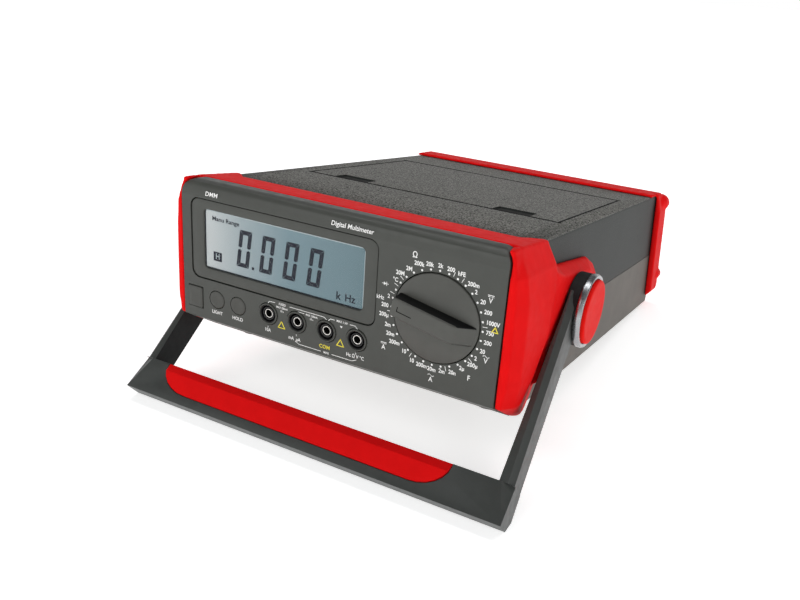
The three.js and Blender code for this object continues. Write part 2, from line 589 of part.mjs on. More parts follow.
// ---------------------------------------------------------------- accessory tray, lid and batteries
// A box hung by a flange under the case top; its back edge is lowered to let the lid swing.
function accessoryTray() {
  const { half, front, back, floor, top, wall, flange } = TRAY;
  const box = block(-half, half, front, back, floor, top);
  const rim = block(-half - flange, half + flange, front - flange, back - 4, top - wall, top);
  const inside = block(-half + wall, half - wall, front + wall, back - wall, floor + wall, top + 1);
  const swing = block(-half - flange - 1, half + flange + 1, back - 3.5, back + 1, top - 1.6, top + 1);
  return cut(join([box, rim]), [inside, swing]);
}

function accessoryLid() {
  const plate = block(-LID.half, LID.half, LID.front, LID.back, CASE_TOP - LID.thick, CASE_TOP);
  const pins = [-1, 1].map(side =>
    pin(LID_PIN.radius, LID_PIN.start, LID_PIN.end, SMALL, across(side, LID_PIN.y, LID_PIN.z)));
  const notches = [-1, 1].map(side => block(side * NOTCH.x - NOTCH.half, side * NOTCH.x + NOTCH.half,
    LID.front - 1, LID.front + NOTCH.depth, CASE_TOP - 1.1, CASE_TOP + 1));
  return cut(join([plate, ...pins]), notches);
}

function batteryBox() {
  const half = CELL.length + 3;
  const box = block(-half - 2, half + 2, CELL_BAY.front - 2, bayBack + 2, CELL_BAY.bottom, CELL_BAY.top + 2);
  return box.subtract(block(-half, half, CELL_BAY.front, bayBack, CELL_BAY.bottom - 1, CELL_BAY.top));
}

function cell(column, row) {
  const middle = column * (CELL.length / 2 + 1);
  const lengthwise = axes([0, 1, 0], [1, 0, 0], [0, 0, -1],
    [middle, CELL_BAY.front + (row + 0.5) * CELL.pitch, CELL_BAY.bottom + 0.6 + CELL.radius]);
  const end = CELL.length / 2;
  return turned([[0, -end], [CELL.radius, -end], [CELL.radius, end - 2], [4, end - 2], [4, end], [0, end]],
    SMALL, lengthwise);
}

function batteryDoor() {
  return block(-58 + GAP, 58 - GAP, CELL_BAY.front - 4 + GAP, bayBack + 8 - GAP, CASE_BOTTOM, CASE_BOTTOM + 2.2);
}

// ---------------------------------------------------------------- handle
const BEVEL = 3;
const MITRE = { across: 6.6, deep: 4 };  // the bar's front corner, cut away towards the arm
const OVERLAP = 4;               // how far an arm reaches into the bar
const OVER = 1;                  // how far a cutting shape stands proud of what it cuts

// An arm spreads outward from under the hub's rim to the bar's end, and narrows on the way.
function arm() {
  const level = (z, at) => ({
    z,
    points: [[at.inner, at.back], [at.outer, at.back], [at.outer, at.front - BEVEL],
      [at.outer - BEVEL, at.front], [at.inner, at.front]],
  });
  const [startY, startZ] = onHandle(0, 0);
  const placement = axes([1, 0, 0], [0, ...faceWay], [0, ...armWay], [0, startY, startZ]);
  return stacked([level(0, ARM_AT_HUB), level(BAR.near + OVERLAP, ARM_AT_BAR)], placement);
}

// The bar's section has a flat foot that lies on the bench when the handle props the case up.
function barSection() {
  const lay = (HANDLE_ANGLE + CASE_TILT) * DEG;
  const run = (BAR.foot - BAR.back) / Math.sin(lay);
  return [[BAR.near, BAR.back], [BAR.near, BAR.front], [BAR.far, BAR.front], [BAR.far, BAR.foot],
    [BAR.far - run * Math.cos(lay), BAR.back]];
}

// A plate in the plane of the handle's face, drawn in X and reach, from `above` the face down to `depth`.
function facePlate(outline, above, depth) {
  const [y0, z0] = onHandle(0, BAR.front + above);
  const placement = axes([1, 0, 0], [0, ...armWay], [0, ...faceWay.map(part => -part)], [0, y0, z0]);
  return push(outline, depth + above, placement);
}

function bar() {
  const section = barSection().map(([reach, face]) => onHandle(reach, face));
  const ends = [[-BAR_HALF.near, BAR.near], [-BAR_HALF.far, BAR.far], [BAR_HALF.far, BAR.far],
    [BAR_HALF.near, BAR.near]];
  return alongX(section, -BAR_HALF.far, BAR_HALF.far).intersect(facePlate(ends, OVER, BAR.front + OVER));
}

// The wedge that mitres the bar's front corner: deepest where the arm meets the bar, nothing at the far edge.
function mitre() {
  const { across: wide, deep } = MITRE;
  const outline = [[-2 * wide, deep], [wide, deep], [wide, -2 * deep]];
  const [startY, startZ] = onHandle(BAR.near, BAR.front);
  const outward = (wide + BAR_HALF.far - BAR_HALF.near) / (BAR.far - BAR.near);
  const placement = axes([1, 0, 0], [0, ...faceWay], [outward, ...armWay], [BAR_HALF.near, startY, startZ]);
  return push(outline, BAR.far - BAR.near, placement);
}

function handleBail() {
  const drum = pin(DRUM.radius, DRUM.start, DRUM.end, ROUND, aboutHub(1));
  const side = join([arm(), drum]);
  const mitres = [mitre(), mirrored(mitre())];
  const footCut = bail => {
    const [y0, z0] = onHandle(...barSection()[3]);
    const level = axes([1, 0, 0], [0, Math.cos(CASE_TILT * DEG), Math.sin(CASE_TILT * DEG)],
      [0, -Math.sin(CASE_TILT * DEG), Math.cos(CASE_TILT * DEG)], [0, y0, z0]);
    const below = new THREE.BoxGeometry(400, 200, 60);
    below.translate(0, 0, -30);
    below.applyMatrix4(level);
    return bail.subtract(solid(below));
  };
  const whole = footCut(join([bar(), side, mirrored(side)]));
  const gripBed = gripShape(GRIP_DEPTH + GAP, GAP);
  const bores = [-1, 1].map(way => pin(HUB_BORE, DRUM.start - 2, DRUM.end + 6, SMALL, aboutHub(way)));
  return cut(whole, [gripBed, ...mitres, ...bores]);
}

const GRIP_DEPTH = 2.5;
const GRIP_DROP = 15;            // how far down the bar's face the grip reaches
const GRIP_CURVE = { across: 19, down: 14, facets: 6 };

// The grip: a pad with round lower corners, let into the bar's front face and over its inner edge.
function gripShape(depth, grow) {
  const left = GRIP_END.left - grow;
  const right = GRIP_END.right + grow;
  const low = BAR.near + GRIP_DROP + grow;
  const corner = (end, way) => Array.from({ length: GRIP_CURVE.facets + 1 }, (unused, step) => {
    const turn = step / GRIP_CURVE.facets * Math.PI / 2;
    return [end + way * GRIP_CURVE.across * (1 - Math.cos(turn)), low - GRIP_CURVE.down * (1 - Math.sin(turn))];
  });
  const outline = [[left, BAR.near - 6], ...corner(left, 1), ...corner(right, -1).reverse(),
    [right, BAR.near - 6]];
  return facePlate(outline, 6, depth);
}

function handleGrip() {
  const section = [[BAR.near, BAR.front - GRIP_DEPTH], [BAR.near, BAR.front - 0.6],
    [BAR.near + 4.6, BAR.front + 1.2], [BAR.near + GRIP_DROP, BAR.front + 0.4],
    [BAR.near + GRIP_DROP, BAR.front - GRIP_DEPTH]]
    .map(([reach, face]) => onHandle(reach, face));
  return alongX(section, -110, 110).intersect(gripShape(GRIP_DEPTH, 0));
}

function hubRim(side) {
  return ring(CAP.radius + GAP, RIM.radius, DRUM.end + GAP, RIM.end, ROUND, aboutHub(side));
}

function hubCap(side) {
  const profile = [[0, CAP.start], [CAP.radius, CAP.start], [CAP.radius, CAP.end - 0.8], [CAP.radius - 1, CAP.end],
    [0, CAP.end]];
  return turned(profile, ROUND, aboutHub(side));
}

function hubBolt(side) {
  const profile = [[0, 92], [8.5, 92], [8.5, 95], [BOLT_RADIUS, 95], [BOLT_RADIUS, 115.2], [7.5, 115.2],
    [7.5, 116.3], [0, 116.3]];
  return turned(profile, SMALL, aboutHub(side));
}

// ---------------------------------------------------------------- assembly
addNode('upper_case', SHELL, upperCase());
addNode('lower_case', SHELL, lowerCase());
addNode('front_bumper', RED, frontBumper());
addNode('rear_bumper', RED, rearBumper());
addNode('front_panel', CHARCOAL, frontPanel());
addNode('rear_panel', CHARCOAL, rearPanel());
addNode('lcd_bezel', CHARCOAL, lcdBezel());
addNode('lcd_window', CLEAR, displaySlab(5.4, 6.8, 2));
addNode('lcd_glass', { color: 0xa9bcc2, roughness: 0.3, metalness: 0 }, displaySlab(7.2, 9.6, 2));
addNode('lcd_backlight', { color: 0xf2f4f5, roughness: 0.4, metalness: 0 }, displaySlab(10, 13.4, 2));
addNode('lcd_carrier', CHARCOAL, lcdCarrier());
addNode('power_button', CHARCOAL, powerButton());
addNode('power_switch', BLACK, powerSwitch());
Object.entries(ROUND_BUTTONS).forEach(([name, x]) => {
  addNode(`${name}_button`, CHARCOAL, roundButton(x));
  addNode(`${name}_switch`, BLACK, keySwitch(x));
});
JACK_X.forEach((x, index) => {
  addNode(`jack_body_${index + 1}`, BLACK, jackBody(x));
  addNode(`jack_sleeve_${index + 1}`, METAL, jackSleeve(x));
});
addNode('range_knob', CHARCOAL, rangeKnob());
addNode('switch_rotor', BLACK, switchRotor());
addNode('main_board', BOARD, mainBoard());
FUSES.forEach((size, index) => addNode(`fuse_${index + 1}`, METAL, fuse(size, index)));
addNode('transformer_core', METAL, transformerCore());
addNode('transformer_coil', { color: 0xc9a13a, roughness: 0.5, metalness: 0 }, transformerCoil());
addNode('power_board', BOARD, powerBoard());
addNode('mains_inlet', BLACK, mainsInlet());
addNode('accessory_tray', CHARCOAL, accessoryTray());
addNode('accessory_lid', SHELL, accessoryLid());
addNode('battery_box', BLACK, batteryBox());
for (let row = 0; row < CELL.rows; row += 1) {
  [-1, 1].forEach(column => addNode(`cell_${row + 1}${column < 0 ? 'l' : 'r'}`, METAL, cell(column, row)));
}
addNode('battery_door', SHELL, batteryDoor());
screwPlaces.forEach((place, index) => addNode(`case_screw_${index + 1}`, METAL, caseScrew(place)));
addNode('front_foot_l', BLACK, frontFoot(-80));
addNode('front_foot_r', BLACK, frontFoot(80));
addNode('handle_bail', CHARCOAL, handleBail());
addNode('handle_grip', RED, handleGrip());
[['l', -1], ['r', 1]].forEach(([letter, side]) => {
  addNode(`hub_bolt_${letter}`, METAL, hubBolt(side));
  addNode(`hub_rim_${letter}`, METAL, hubRim(side));
  addNode(`hub_cap_${letter}`, RED, hubCap(side));
});

// Tip the case back onto its handle and feet, then stand it on the bench.
meter.rotation.x = -CASE_TILT * DEG;
meter.updateMatrixWorld(true);
const reach = new THREE.Box3().setFromObject(meter, true);
meter.position.set(0, -(reach.min.y + reach.max.y) / 2, -reach.min.z);
meter.updateMatrixWorld(true);

export default meter;
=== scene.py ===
"""Looks for the bench multimeter on its folding handle.

Pieces are drawn in millimetres in one of two frames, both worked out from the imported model. The case
frame has its origin on the front panel's plane at the range knob's height, half way across, with +X to
the right of someone facing the panel, +Y to the back and +Z up the case. The panel frame is the case
frame leaned forward with the panel: X across, Y into the case, Z up the panel.
"""
import json
import math

import bmesh
import bpy
from mathutils import Matrix, Vector


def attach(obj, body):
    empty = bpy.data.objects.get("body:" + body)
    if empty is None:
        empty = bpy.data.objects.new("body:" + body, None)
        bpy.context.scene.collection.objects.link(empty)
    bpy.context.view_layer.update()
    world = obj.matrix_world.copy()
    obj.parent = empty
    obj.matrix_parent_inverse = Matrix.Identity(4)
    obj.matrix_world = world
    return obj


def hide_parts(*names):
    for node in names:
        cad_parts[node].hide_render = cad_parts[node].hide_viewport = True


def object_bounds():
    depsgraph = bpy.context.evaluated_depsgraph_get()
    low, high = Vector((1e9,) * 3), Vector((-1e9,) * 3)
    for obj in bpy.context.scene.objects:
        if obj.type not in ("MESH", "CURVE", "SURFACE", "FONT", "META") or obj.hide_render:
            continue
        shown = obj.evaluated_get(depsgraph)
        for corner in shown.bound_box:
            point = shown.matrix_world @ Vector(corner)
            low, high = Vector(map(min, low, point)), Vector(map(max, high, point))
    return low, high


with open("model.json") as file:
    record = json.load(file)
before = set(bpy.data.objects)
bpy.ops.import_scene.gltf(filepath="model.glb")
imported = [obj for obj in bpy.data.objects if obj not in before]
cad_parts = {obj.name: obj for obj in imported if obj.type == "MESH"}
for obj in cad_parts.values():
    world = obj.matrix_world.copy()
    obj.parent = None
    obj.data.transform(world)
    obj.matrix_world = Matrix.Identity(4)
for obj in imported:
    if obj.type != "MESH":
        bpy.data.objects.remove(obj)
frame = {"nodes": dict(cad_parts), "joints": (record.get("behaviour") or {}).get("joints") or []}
CAD_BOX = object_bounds()

# ---------------------------------------------------------------- frames
MM = 0.001
TILT = math.radians(6)            # the case is tipped back onto its handle
LEAN = math.radians(6.5)          # the panel's top leans forward
KNOB_X = 63.3
KNOB_JOINT = next(joint for joint in frame["joints"] if joint["name"] == "knob_turn")
ORIGIN = Vector(KNOB_JOINT["pos_m"]) - Vector((KNOB_X * MM, 0, 0))
CASE = Matrix.Translation(ORIGIN) @ Matrix.Rotation(-TILT, 4, "X") @ Matrix.Scale(MM, 4)
PANEL = CASE @ Matrix.Rotation(LEAN, 4, "X")
# stands a drawing's flat plane up on the panel
ON_FACE = Matrix(((1, 0, 0, 0), (0, 0, -1, 0), (0, 1, 0, 0), (0, 0, 0, 1)))

# ---------------------------------------------------------------- driving dimensions, millimetres
LCD = {"left": -91.5, "right": 29, "bottom": -14, "top": 32.4, "corner": 5}
GLASS = {"left": -82.8, "right": 21.2, "bottom": -7.2, "top": 26.8, "corner": 2.6}
BEZEL_FRONT = 0.3                 # depths behind the panel's face
BEZEL_BACK = 3.6
BEZEL_GAP = 0.15                  # between the bezel and the opening in the panel
WINDOW_DEPTH = 1.0
SEGMENT_DEPTH = 1.45
GLASS_BACK = 9.6
KNOB_RADIUS = 23.3
GRIP_TURN = math.radians(281)     # clockwise from straight up to the pointer
GRIP_LIFT = 8.6                   # top of the grip above the panel
GRIP_HALF = 5
GRIP_CORNER = 1.6
GRIP_CROWN = 1.3                  # depth of its rounded top
GRIP_SHORT = 1.2                  # from each end to the edge of the knob
MARK = {"left": -17.6, "right": -9.6, "half": 1.1, "width": 0.45}
DIAL_RADIUS = 25
DIAL_START = -33.65               # degrees clockwise from straight up
DIAL_STEP = 360 / 32
PANEL_GAP = 0.35                  # running gap between the panel and what fits in it
PRINT_LIFT = 0.05                 # printing above the surface it is on
JACKS = (-38, -19, 0, 19)
JACK_Z = -24
POWER = {"x": -89.4, "z": -26.4, "half_width": 5, "half_height": 6.3, "corner": 0.9}
ROUND_KEYS = {"light": -74, "hold": -59}
KEY_Z = -25
KEY_RADIUS = 5.2
HUB = (84, -0.7)                  # the handle's axis, as (y, z) in the case frame
HUB_CAP = {"radius": 18, "start": 116.6, "end": 119.2}
HUB_RIM = {"radius": 20.7, "start": 113.8, "end": 117.4}
CASE_HALF = 98
CASE_EDGE = 1.2                   # radius along the two long upper edges
CASE_TOP = 40.3
ARM_INSIDE = 107                  # the handle's arms lie outside this
CATCH_DEPTH = 1.1                 # the finger catches in the lid
LID = {"half": 84, "front": 104, "back": 234}
# where the painted shadow round the lid lies and how wide it is
LID_JOINT = {"side": 0.9, "end": 1.6, "side_width": 1.5, "end_width": 3}
CLOSE = 0.2                       # a point nearer than this to a plane is on it
SOFT_PITCH = 0.9                  # mesh size of the soft mouldings
SOFT_PASSES = 5                   # and how often they are smoothed


# ---------------------------------------------------------------- materials
def socket(shader, name, value):
    shader.inputs[name].default_value = value


class Look:
    """A principled material that detail is added to, a step at a time."""

    def __init__(self, name, colour, roughness, metallic=0.0, specular=0.5):
        self.material = bpy.data.materials.new(name)
        self.material.use_nodes = True
        self.tree = self.material.node_tree
        self.shader = self.tree.nodes["Principled BSDF"]
        self.colour = colour
        socket(self.shader, "Base Color", (*colour, 1))
        socket(self.shader, "Roughness", roughness)
        socket(self.shader, "Metallic", metallic)
        socket(self.shader, "Specular IOR Level", specular)
        self.place = self.node("ShaderNodeTexCoord").outputs["Object"]

    def node(self, kind, **settings):
        made = self.tree.nodes.new(kind)
        for key, value in settings.items():
            setattr(made, key, value)
        return made

    def link(self, source, target):
        self.tree.links.new(source, target)

    def noise(self, size, detail=3.0, roughness=0.55):
        """Noise whose blobs are about size millimetres across."""
        made = self.node("ShaderNodeTexNoise")
        socket(made, "Scale", 1 / (size * MM))
        socket(made, "Detail", detail)
        socket(made, "Roughness", roughness)
        self.link(self.place, made.inputs["Vector"])
        return made.outputs["Fac"]

    def ramp(self, fac, stops):
        made = self.node("ShaderNodeValToRGB")
        elements = made.color_ramp.elements
        while len(elements) < len(stops):
            elements.new(0.5)
        for element, (place, colour) in zip(elements, stops):
            element.position = place
            element.color = (*colour, 1)
        self.link(fac, made.inputs["Fac"])
        return made.outputs["Color"]

    def mottle(self, size, amount, spread=0.18):
        """Colour that wanders a little darker and lighter."""
        dark = tuple(part * (1 - amount) for part in self.colour)
        light = tuple(min(1, part * (1 + amount)) for part in self.colour)
        colour = self.ramp(self.noise(size), [(0.5 - spread, dark), (0.5 + spread, light)])
        self.link(colour, self.shader.inputs["Base Color"])
        return self

    def uneven_gloss(self, size, low, high):
        """Roughness that wanders between two values."""
        made = self.node("ShaderNodeMapRange")
        socket(made, "From Min", 0.3)
        socket(made, "From Max", 0.7)
        socket(made, "To Min", low)
        socket(made, "To Max", high)
        self.link(self.noise(size), made.inputs["Value"])
        self.link(made.outputs["Result"], self.shader.inputs["Roughness"])
        return self

    def grain(self, size, depth, rounding=0.0):
        """Fine bumps depth millimetres high, over edges rounded by the shading."""
        bump = self.node("ShaderNodeBump")
        socket(bump, "Strength", 1.0)
        socket(bump, "Distance", depth * MM)
        self.link(self.noise(size, 2.0), bump.inputs["Height"])
        if rounding:
            bevel = self.node("ShaderNodeBevel", samples=4)
            socket(bevel, "Radius", rounding * MM)
            self.link(bevel.outputs["Normal"], bump.inputs["Normal"])
        self.link(bump.outputs["Normal"], self.shader.inputs["Normal"])
        return self


def shell_plastic():
    """Dark moulded plastic with a spark-eroded grain, strongest on the faces that look up, which are painted
    far lighter than the sides: painted light from above.
    """
    look = Look("shell_plastic", (0.115, 0.12, 0.108), 0.62, specular=0.35)
    up = look.node("ShaderNodeSeparateXYZ")
    look.link(look.node("ShaderNodeNewGeometry").outputs["Normal"], up.inputs["Vector"])
    # painted light: faces that look up get the light speckled colour, the others the dark smooth one
    painted_top_light = look.node("ShaderNodeMapRange")
    socket(painted_top_light, "From Min", 0.5)
    socket(painted_top_light, "From Max", 0.9)
    look.link(up.outputs["Z"], painted_top_light.inputs["Value"])
    speckle_and_top_light = look.ramp(look.noise(1.05, 3.0, 0.7), [
        (0.42, (0.02, 0.02, 0.017)), (0.58, (0.245, 0.24, 0.22))])
    smooth = look.ramp(look.noise(30, 2.0), [
        (0.3, (0.015, 0.018, 0.016)), (0.7, (0.019, 0.022, 0.02))])
    mix = look.node("ShaderNodeMix", data_type="RGBA")
    look.link(painted_top_light.outputs["Result"], mix.inputs["Factor"])
    look.link(smooth, mix.inputs["A"])
    look.link(speckle_and_top_light, mix.inputs["B"])
    look.link(mix.outputs["Result"], look.shader.inputs["Base Color"])
    bump = look.node("ShaderNodeBump")
    socket(bump, "Strength", 0.6)
    socket(bump, "Distance", 0.12 * MM)
    look.link(look.noise(0.5, 3.0, 0.7), bump.inputs["Height"])
    look.link(bump.outputs["Normal"], look.shader.inputs["Normal"])
    return look.material


def lower_plastic():
    """The lower shell is moulded in the same grey, a shade warmer and lighter."""
    look = Look("lower_plastic", (0.115, 0.104, 0.09), 0.6, specular=0.3)
    look.mottle(24, 0.1).grain(0.6, 0.04)
    return look.material


def plastic(name, colour, roughness, specular=0.5, size=0.7, depth=0.02, mottle=0.06, rounding=0.0,
            tint=None):
    """Moulded plastic or rubber. Size and depth are its grain's, rounding its edges', in millimetres."""
    look = Look(name, colour, roughness, specular=specular)
    if tint:
        socket(look.shader, "Specular Tint", tint)
    look.mottle(9, mottle)
    look.uneven_gloss(4, roughness - 0.05, roughness + 0.05)
    look.grain(size, depth, rounding=rounding)
    return look.material


def metal(name, colour, roughness):
    look = Look(name, colour, roughness, metallic=1.0)
    look.mottle(6, 0.05)
    look.uneven_gloss(3, roughness - 0.05, roughness + 0.08)
    look.grain(0.5, 0.006, rounding=0.25)
    return look.material


def clear_plastic():
    look = Look("clear_window", (0.1, 0.11, 0.12), 0.08, specular=0.5)
    socket(look.shader, "Alpha", 0.04)
    look.grain(40, 0.01)
    return look.material


def liquid_crystal():
    """Grey-blue display background, painted lighter towards its left as painted light, with a faint painted
    glow.
    """
    look = Look("liquid_crystal", (0.3, 0.39, 0.42), 0.5, specular=0.2)
    across = look.node("ShaderNodeSeparateXYZ")
    look.link(look.place, across.inputs["Vector"])
    painted_light_sweep = look.node("ShaderNodeMapRange")
    socket(painted_light_sweep, "From Min", GLASS["left"] * MM)
    socket(painted_light_sweep, "From Max", GLASS["right"] * MM)
    look.link(across.outputs["X"], painted_light_sweep.inputs["Value"])
    # painted light: lighter towards the left
    colour = look.ramp(painted_light_sweep.outputs["Result"], [
        (0.0, (0.5, 0.53, 0.53)), (0.25, (0.3, 0.36, 0.38)),
        (0.55, (0.17, 0.25, 0.28)), (1.0, (0.13, 0.2, 0.225))])
    look.link(colour, look.shader.inputs["Base Color"])
    # painted glow: the display gives off a little light of its own
    look.link(colour, look.shader.inputs["Emission Color"])
    socket(look.shader, "Emission Strength", 0.12)
    look.grain(0.4, 0.01)
    return look.material


def printed(name, colour):
    look = Look(name, colour, 0.55, specular=0.3)
    look.mottle(1.5, 0.05)
    return look.material


def board():
    look = Look("solder_mask", (0.02, 0.14, 0.06), 0.35)
    look.mottle(3, 0.35, spread=0.05).grain(1.5, 0.05, rounding=0.3)
    return look.material


RED_TINT = (1.0, 0.3, 0.16, 1)    # what the reds reflect is tinted warm
RED_RUBBER = plastic("red_rubber", (0.74, 0.007, 0.008), 0.55, specular=0.03, size=0.5, mottle=0.03,
                     tint=RED_TINT)
RED_PLASTIC = plastic("red_plastic", (0.76, 0.01, 0.008), 0.5, specular=0.03, size=0.6, depth=0.012,
                      mottle=0.02, tint=RED_TINT)
SHELL = shell_plastic()
LOWER_SHELL = lower_plastic()
PANEL_GREY = plastic("panel_grey", (0.044, 0.047, 0.04), 0.46, size=0.45, depth=0.014, mottle=0.04,
                     rounding=0.3)
BUTTON_GREY = plastic("button_grey", (0.044, 0.045, 0.038), 0.45, size=0.5)
KNOB_GREY = plastic("knob_grey", (0.06, 0.061, 0.053), 0.4, size=0.5, depth=0.015)
# near-black painted shade for the range knob grip's side walls
KNOB_WALL_SHADE = plastic("knob_wall_shade", (0.006, 0.006, 0.006), 0.6, specular=0.2, size=0.5, depth=0.015)
BLACK = plastic("black_plastic", (0.008, 0.008, 0.009), 0.38, rounding=0.3)
# black for painted shade down the jacks' holes and round the lid, and for the knob's pointer mark
SHADE_AND_MARK_BLACK = plastic("shade_and_mark_black", (0.004, 0.004, 0.004), 0.8, specular=0.1)
# painted shade for the floors of the lid's finger catches
CATCH_SHADE = plastic("catch_shade", (0.022, 0.023, 0.021), 0.7, specular=0.2)
# near-black painted shade for the handle arms' inner sides and the hub drums' walls
HANDLE_PAINTED_SHADE = plastic("handle_painted_shade", (0.008, 0.009, 0.009), 0.6, specular=0.2, size=0.6, depth=0.03)
HANDLE_GREY = plastic("handle_grey", (0.036, 0.04, 0.037), 0.42, size=0.6, depth=0.03, mottle=0.08)
FOOT = plastic("foot_rubber", (0.012, 0.012, 0.012), 0.7, specular=0.3, rounding=0.5)
STEEL = metal("bright_steel", (0.62, 0.62, 0.6), 0.28)
RIM_METAL = metal("rim_metal", (0.34, 0.35, 0.36), 0.26)
NICKEL = metal("nickel", (0.72, 0.7, 0.66), 0.22)
COPPER_TAPE = plastic("coil_tape", (0.5, 0.33, 0.06), 0.45, rounding=0.5)
CORE_STEEL = metal("core_steel", (0.2, 0.2, 0.21), 0.5)
CELL_SLEEVE = plastic("cell_sleeve", (0.05, 0.06, 0.16), 0.3, rounding=0.6)
BOARD = board()
CLEAR = clear_plastic()
CRYSTAL = liquid_crystal()
DIFFUSER = plastic("diffuser", (0.85, 0.86, 0.86), 0.5)
WHITE_PRINT = printed("white_print", (0.86, 0.86, 0.84))
YELLOW_PRINT = printed("yellow_print", (0.8, 0.68, 0.05))
# also the painted shadow along the display's left and bottom edges
SEGMENT_INK_AND_SHADOW = printed("segment_ink_and_shadow", (0.006, 0.009, 0.02))
# also the painted highlight along the display's top and right edges
CRYSTAL_LIGHT_AND_HIGHLIGHT = printed("segment_light_and_highlight", (0.45, 0.52, 0.54))


# ---------------------------------------------------------------- mesh tools
# an edge whose faces meet at more than this many degrees stays sharp
EDGE = {"panel": 28, "case": 35, "turned": 40, "rounded": 50, "collar": 60}


def plain_mesh(bm, name, placement):
    """A mesh in the row frame from a bmesh drawn in millimetres."""
    bm.transform(placement)
    mesh = bpy.data.meshes.new(name)
    bm.to_mesh(mesh)
    bm.free()
    return mesh


def finish_mesh(bm, name, placement, sharp):
    """The same for a solid shape, smooth but for the edges sharper than that many degrees."""
    bmesh.ops.recalc_face_normals(bm, faces=bm.faces)
    mesh = plain_mesh(bm, name, placement)
    mesh.polygons.foreach_set("use_smooth", [True] * len(mesh.polygons))
    mesh.set_sharp_from_angle(angle=math.radians(sharp))
    return mesh


def show(name, mesh, look, body, stands_for=()):
    """A piece that rides on a body, in the place of the CAD nodes that it stands for."""
    piece = bpy.data.objects.new(name, mesh)
    bpy.context.scene.collection.objects.link(piece)
    mesh.materials.clear()
    mesh.materials.append(look)
    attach(piece, body)
    if stands_for:
        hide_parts(*stands_for)
    return piece


def skin(bm, loops, closed=False):
    """Quads between successive loops of points. Closed joins the last loop to the first; else both are
    capped."""
    rows = [[bm.verts.new(point) for point in loop] for loop in loops]
    count = len(rows[0])
    pairs = list(zip(rows, rows[1:]))
    if closed:
        pairs.append((rows[-1], rows[0]))
    for low, high in pairs:
        for side in range(count):
            after = (side + 1) % count
            bm.faces.new((low[side], low[after], high[after], high[side]))
    if not closed:
        bm.faces.new(rows[0])
        bm.faces.new(rows[-1])
    return bm


def rounded_rect(left, right, bottom, top, corner, steps=6):
    """Points of a rectangle with round corners, as (x, z)."""
    points = []
    corners = ((right, top, 0), (left, top, 90), (left, bottom, 180), (right, bottom, 270))
    for x, z, start in corners:
        cx = x - corner if x == right else x + corner
        cz = z - corner if z == top else z + corner
        for step in range(steps + 1):
            angle = math.radians(start + 90 * step / steps)
            points.append((cx + corner * math.cos(angle), cz + corner * math.sin(angle)))
    return points


def rect_loop(rect, y, shrink=0.0):
    """The rounded rectangle (left, right, bottom, top, corner) at depth y, drawn in by shrink."""
    left, right, bottom, top, corner = rect
    corner = max(0.05, corner - shrink)
    flat = rounded_rect(left + shrink, right - shrink, bottom + shrink, top - shrink, corner)
    return [(x, y, z) for x, z in flat]


def lathe(profile, centre=(0, 0), sides=64, closed=True):
    """A piece turned about local Y through centre (x, z). The profile is [(radius, y), ...]: a ring's
    closed outline, or an open one whose two ends are capped."""
    x, z = centre
    turns = [2 * math.pi * side / sides for side in range(sides)]
    loops = [[(x + radius * math.sin(turn), y, z + radius * math.cos(turn)) for turn in turns]
             for radius, y in profile]
    return skin(bmesh.new(), loops, closed)


def cad_shape(node):
    """The CAD node's shape in case-frame millimetres, with its coplanar faces merged."""
    bm = bmesh.new()
    bm.from_mesh(frame["nodes"][node].data)
    bm.transform(CASE.inverted())
    bmesh.ops.remove_doubles(bm, verts=bm.verts, dist=0.004)
    bmesh.ops.dissolve_limit(bm, angle_limit=math.radians(0.5), verts=bm.verts, edges=bm.edges)
    return bm


def round_edges(bm, chosen, radius, segments=3):
    """Rounds the edges for which chosen(start, end) is true, both being points."""
    edges = [edge for edge in bm.edges if chosen(edge.verts[0].co, edge.verts[1].co)]
    bmesh.ops.bevel(bm, geom=edges, offset=radius, offset_type="OFFSET", segments=segments, profile=0.5,
                    affect="EDGES", clamp_overlap=True)


def soften(piece, width, segments):
    """A small bevel along every sharp edge."""
    bevel = piece.modifiers.new("soft_edges", "BEVEL")
    bevel.width = width * MM
    bevel.segments = segments
    bevel.limit_method = "ANGLE"
    bevel.angle_limit = math.radians(30)
    bevel.use_clamp_overlap = True
    bevel.harden_normals = True


def carried_over(node, look):
    """A CAD node that is shown as it is, with a better material."""
    mesh = frame["nodes"][node].data
    mesh.materials.clear()
    mesh.materials.append(look)


def from_cad(node, look, body, bevel=0.0, segments=2):
    """A piece in the CAD node's own shape, with its edges bevelled."""
    mesh = finish_mesh(cad_shape(node), node, CASE, EDGE["case"])
    piece = show(node + "_shape", mesh, look, body, [node])
    if bevel:
        soften(piece, bevel, segments)
    return piece


def second_look(piece, look, chosen, placement=CASE):
    """Another material for the faces whose middle and normal are chosen. The middle is in millimetres in
    the frame of the placement, the normal in the row frame."""
    to_local = placement.inverted()
    piece.data.materials.append(look)
    piece.data.polygons.foreach_set("material_index", [
        int(chosen(to_local @ face.center, face.normal)) for face in piece.data.polygons])


def moulded(node, look, body):
    """A soft moulding: the CAD shape remeshed finely and smoothed until its edges are round."""
    mesh = finish_mesh(cad_shape(node), node, CASE, EDGE["case"])
    piece = show(node + "_moulding", mesh, look, body, [node])
    remesh = piece.modifiers.new("even_mesh", "REMESH")
    remesh.mode = "VOXEL"
    remesh.voxel_size = SOFT_PITCH * MM
    remesh.use_smooth_shade = True
    smooth = piece.modifiers.new("round_edges", "SMOOTH")
    smooth.factor = 0.5
    smooth.iterations = SOFT_PASSES


# ---------------------------------------------------------------- printing
CAPITALS = 0.7                    # height of the font's capitals for a size of 1
SQUEEZE = 0.86                    # width of most words against the font's own
FONT = bpy.data.curves.new("lettering", "FONT")
FONT.align_y = "CENTER"
FONT.resolution_u = 3
LETTERS = bpy.data.objects.new("lettering", FONT)
bpy.context.scene.collection.objects.link(LETTERS)


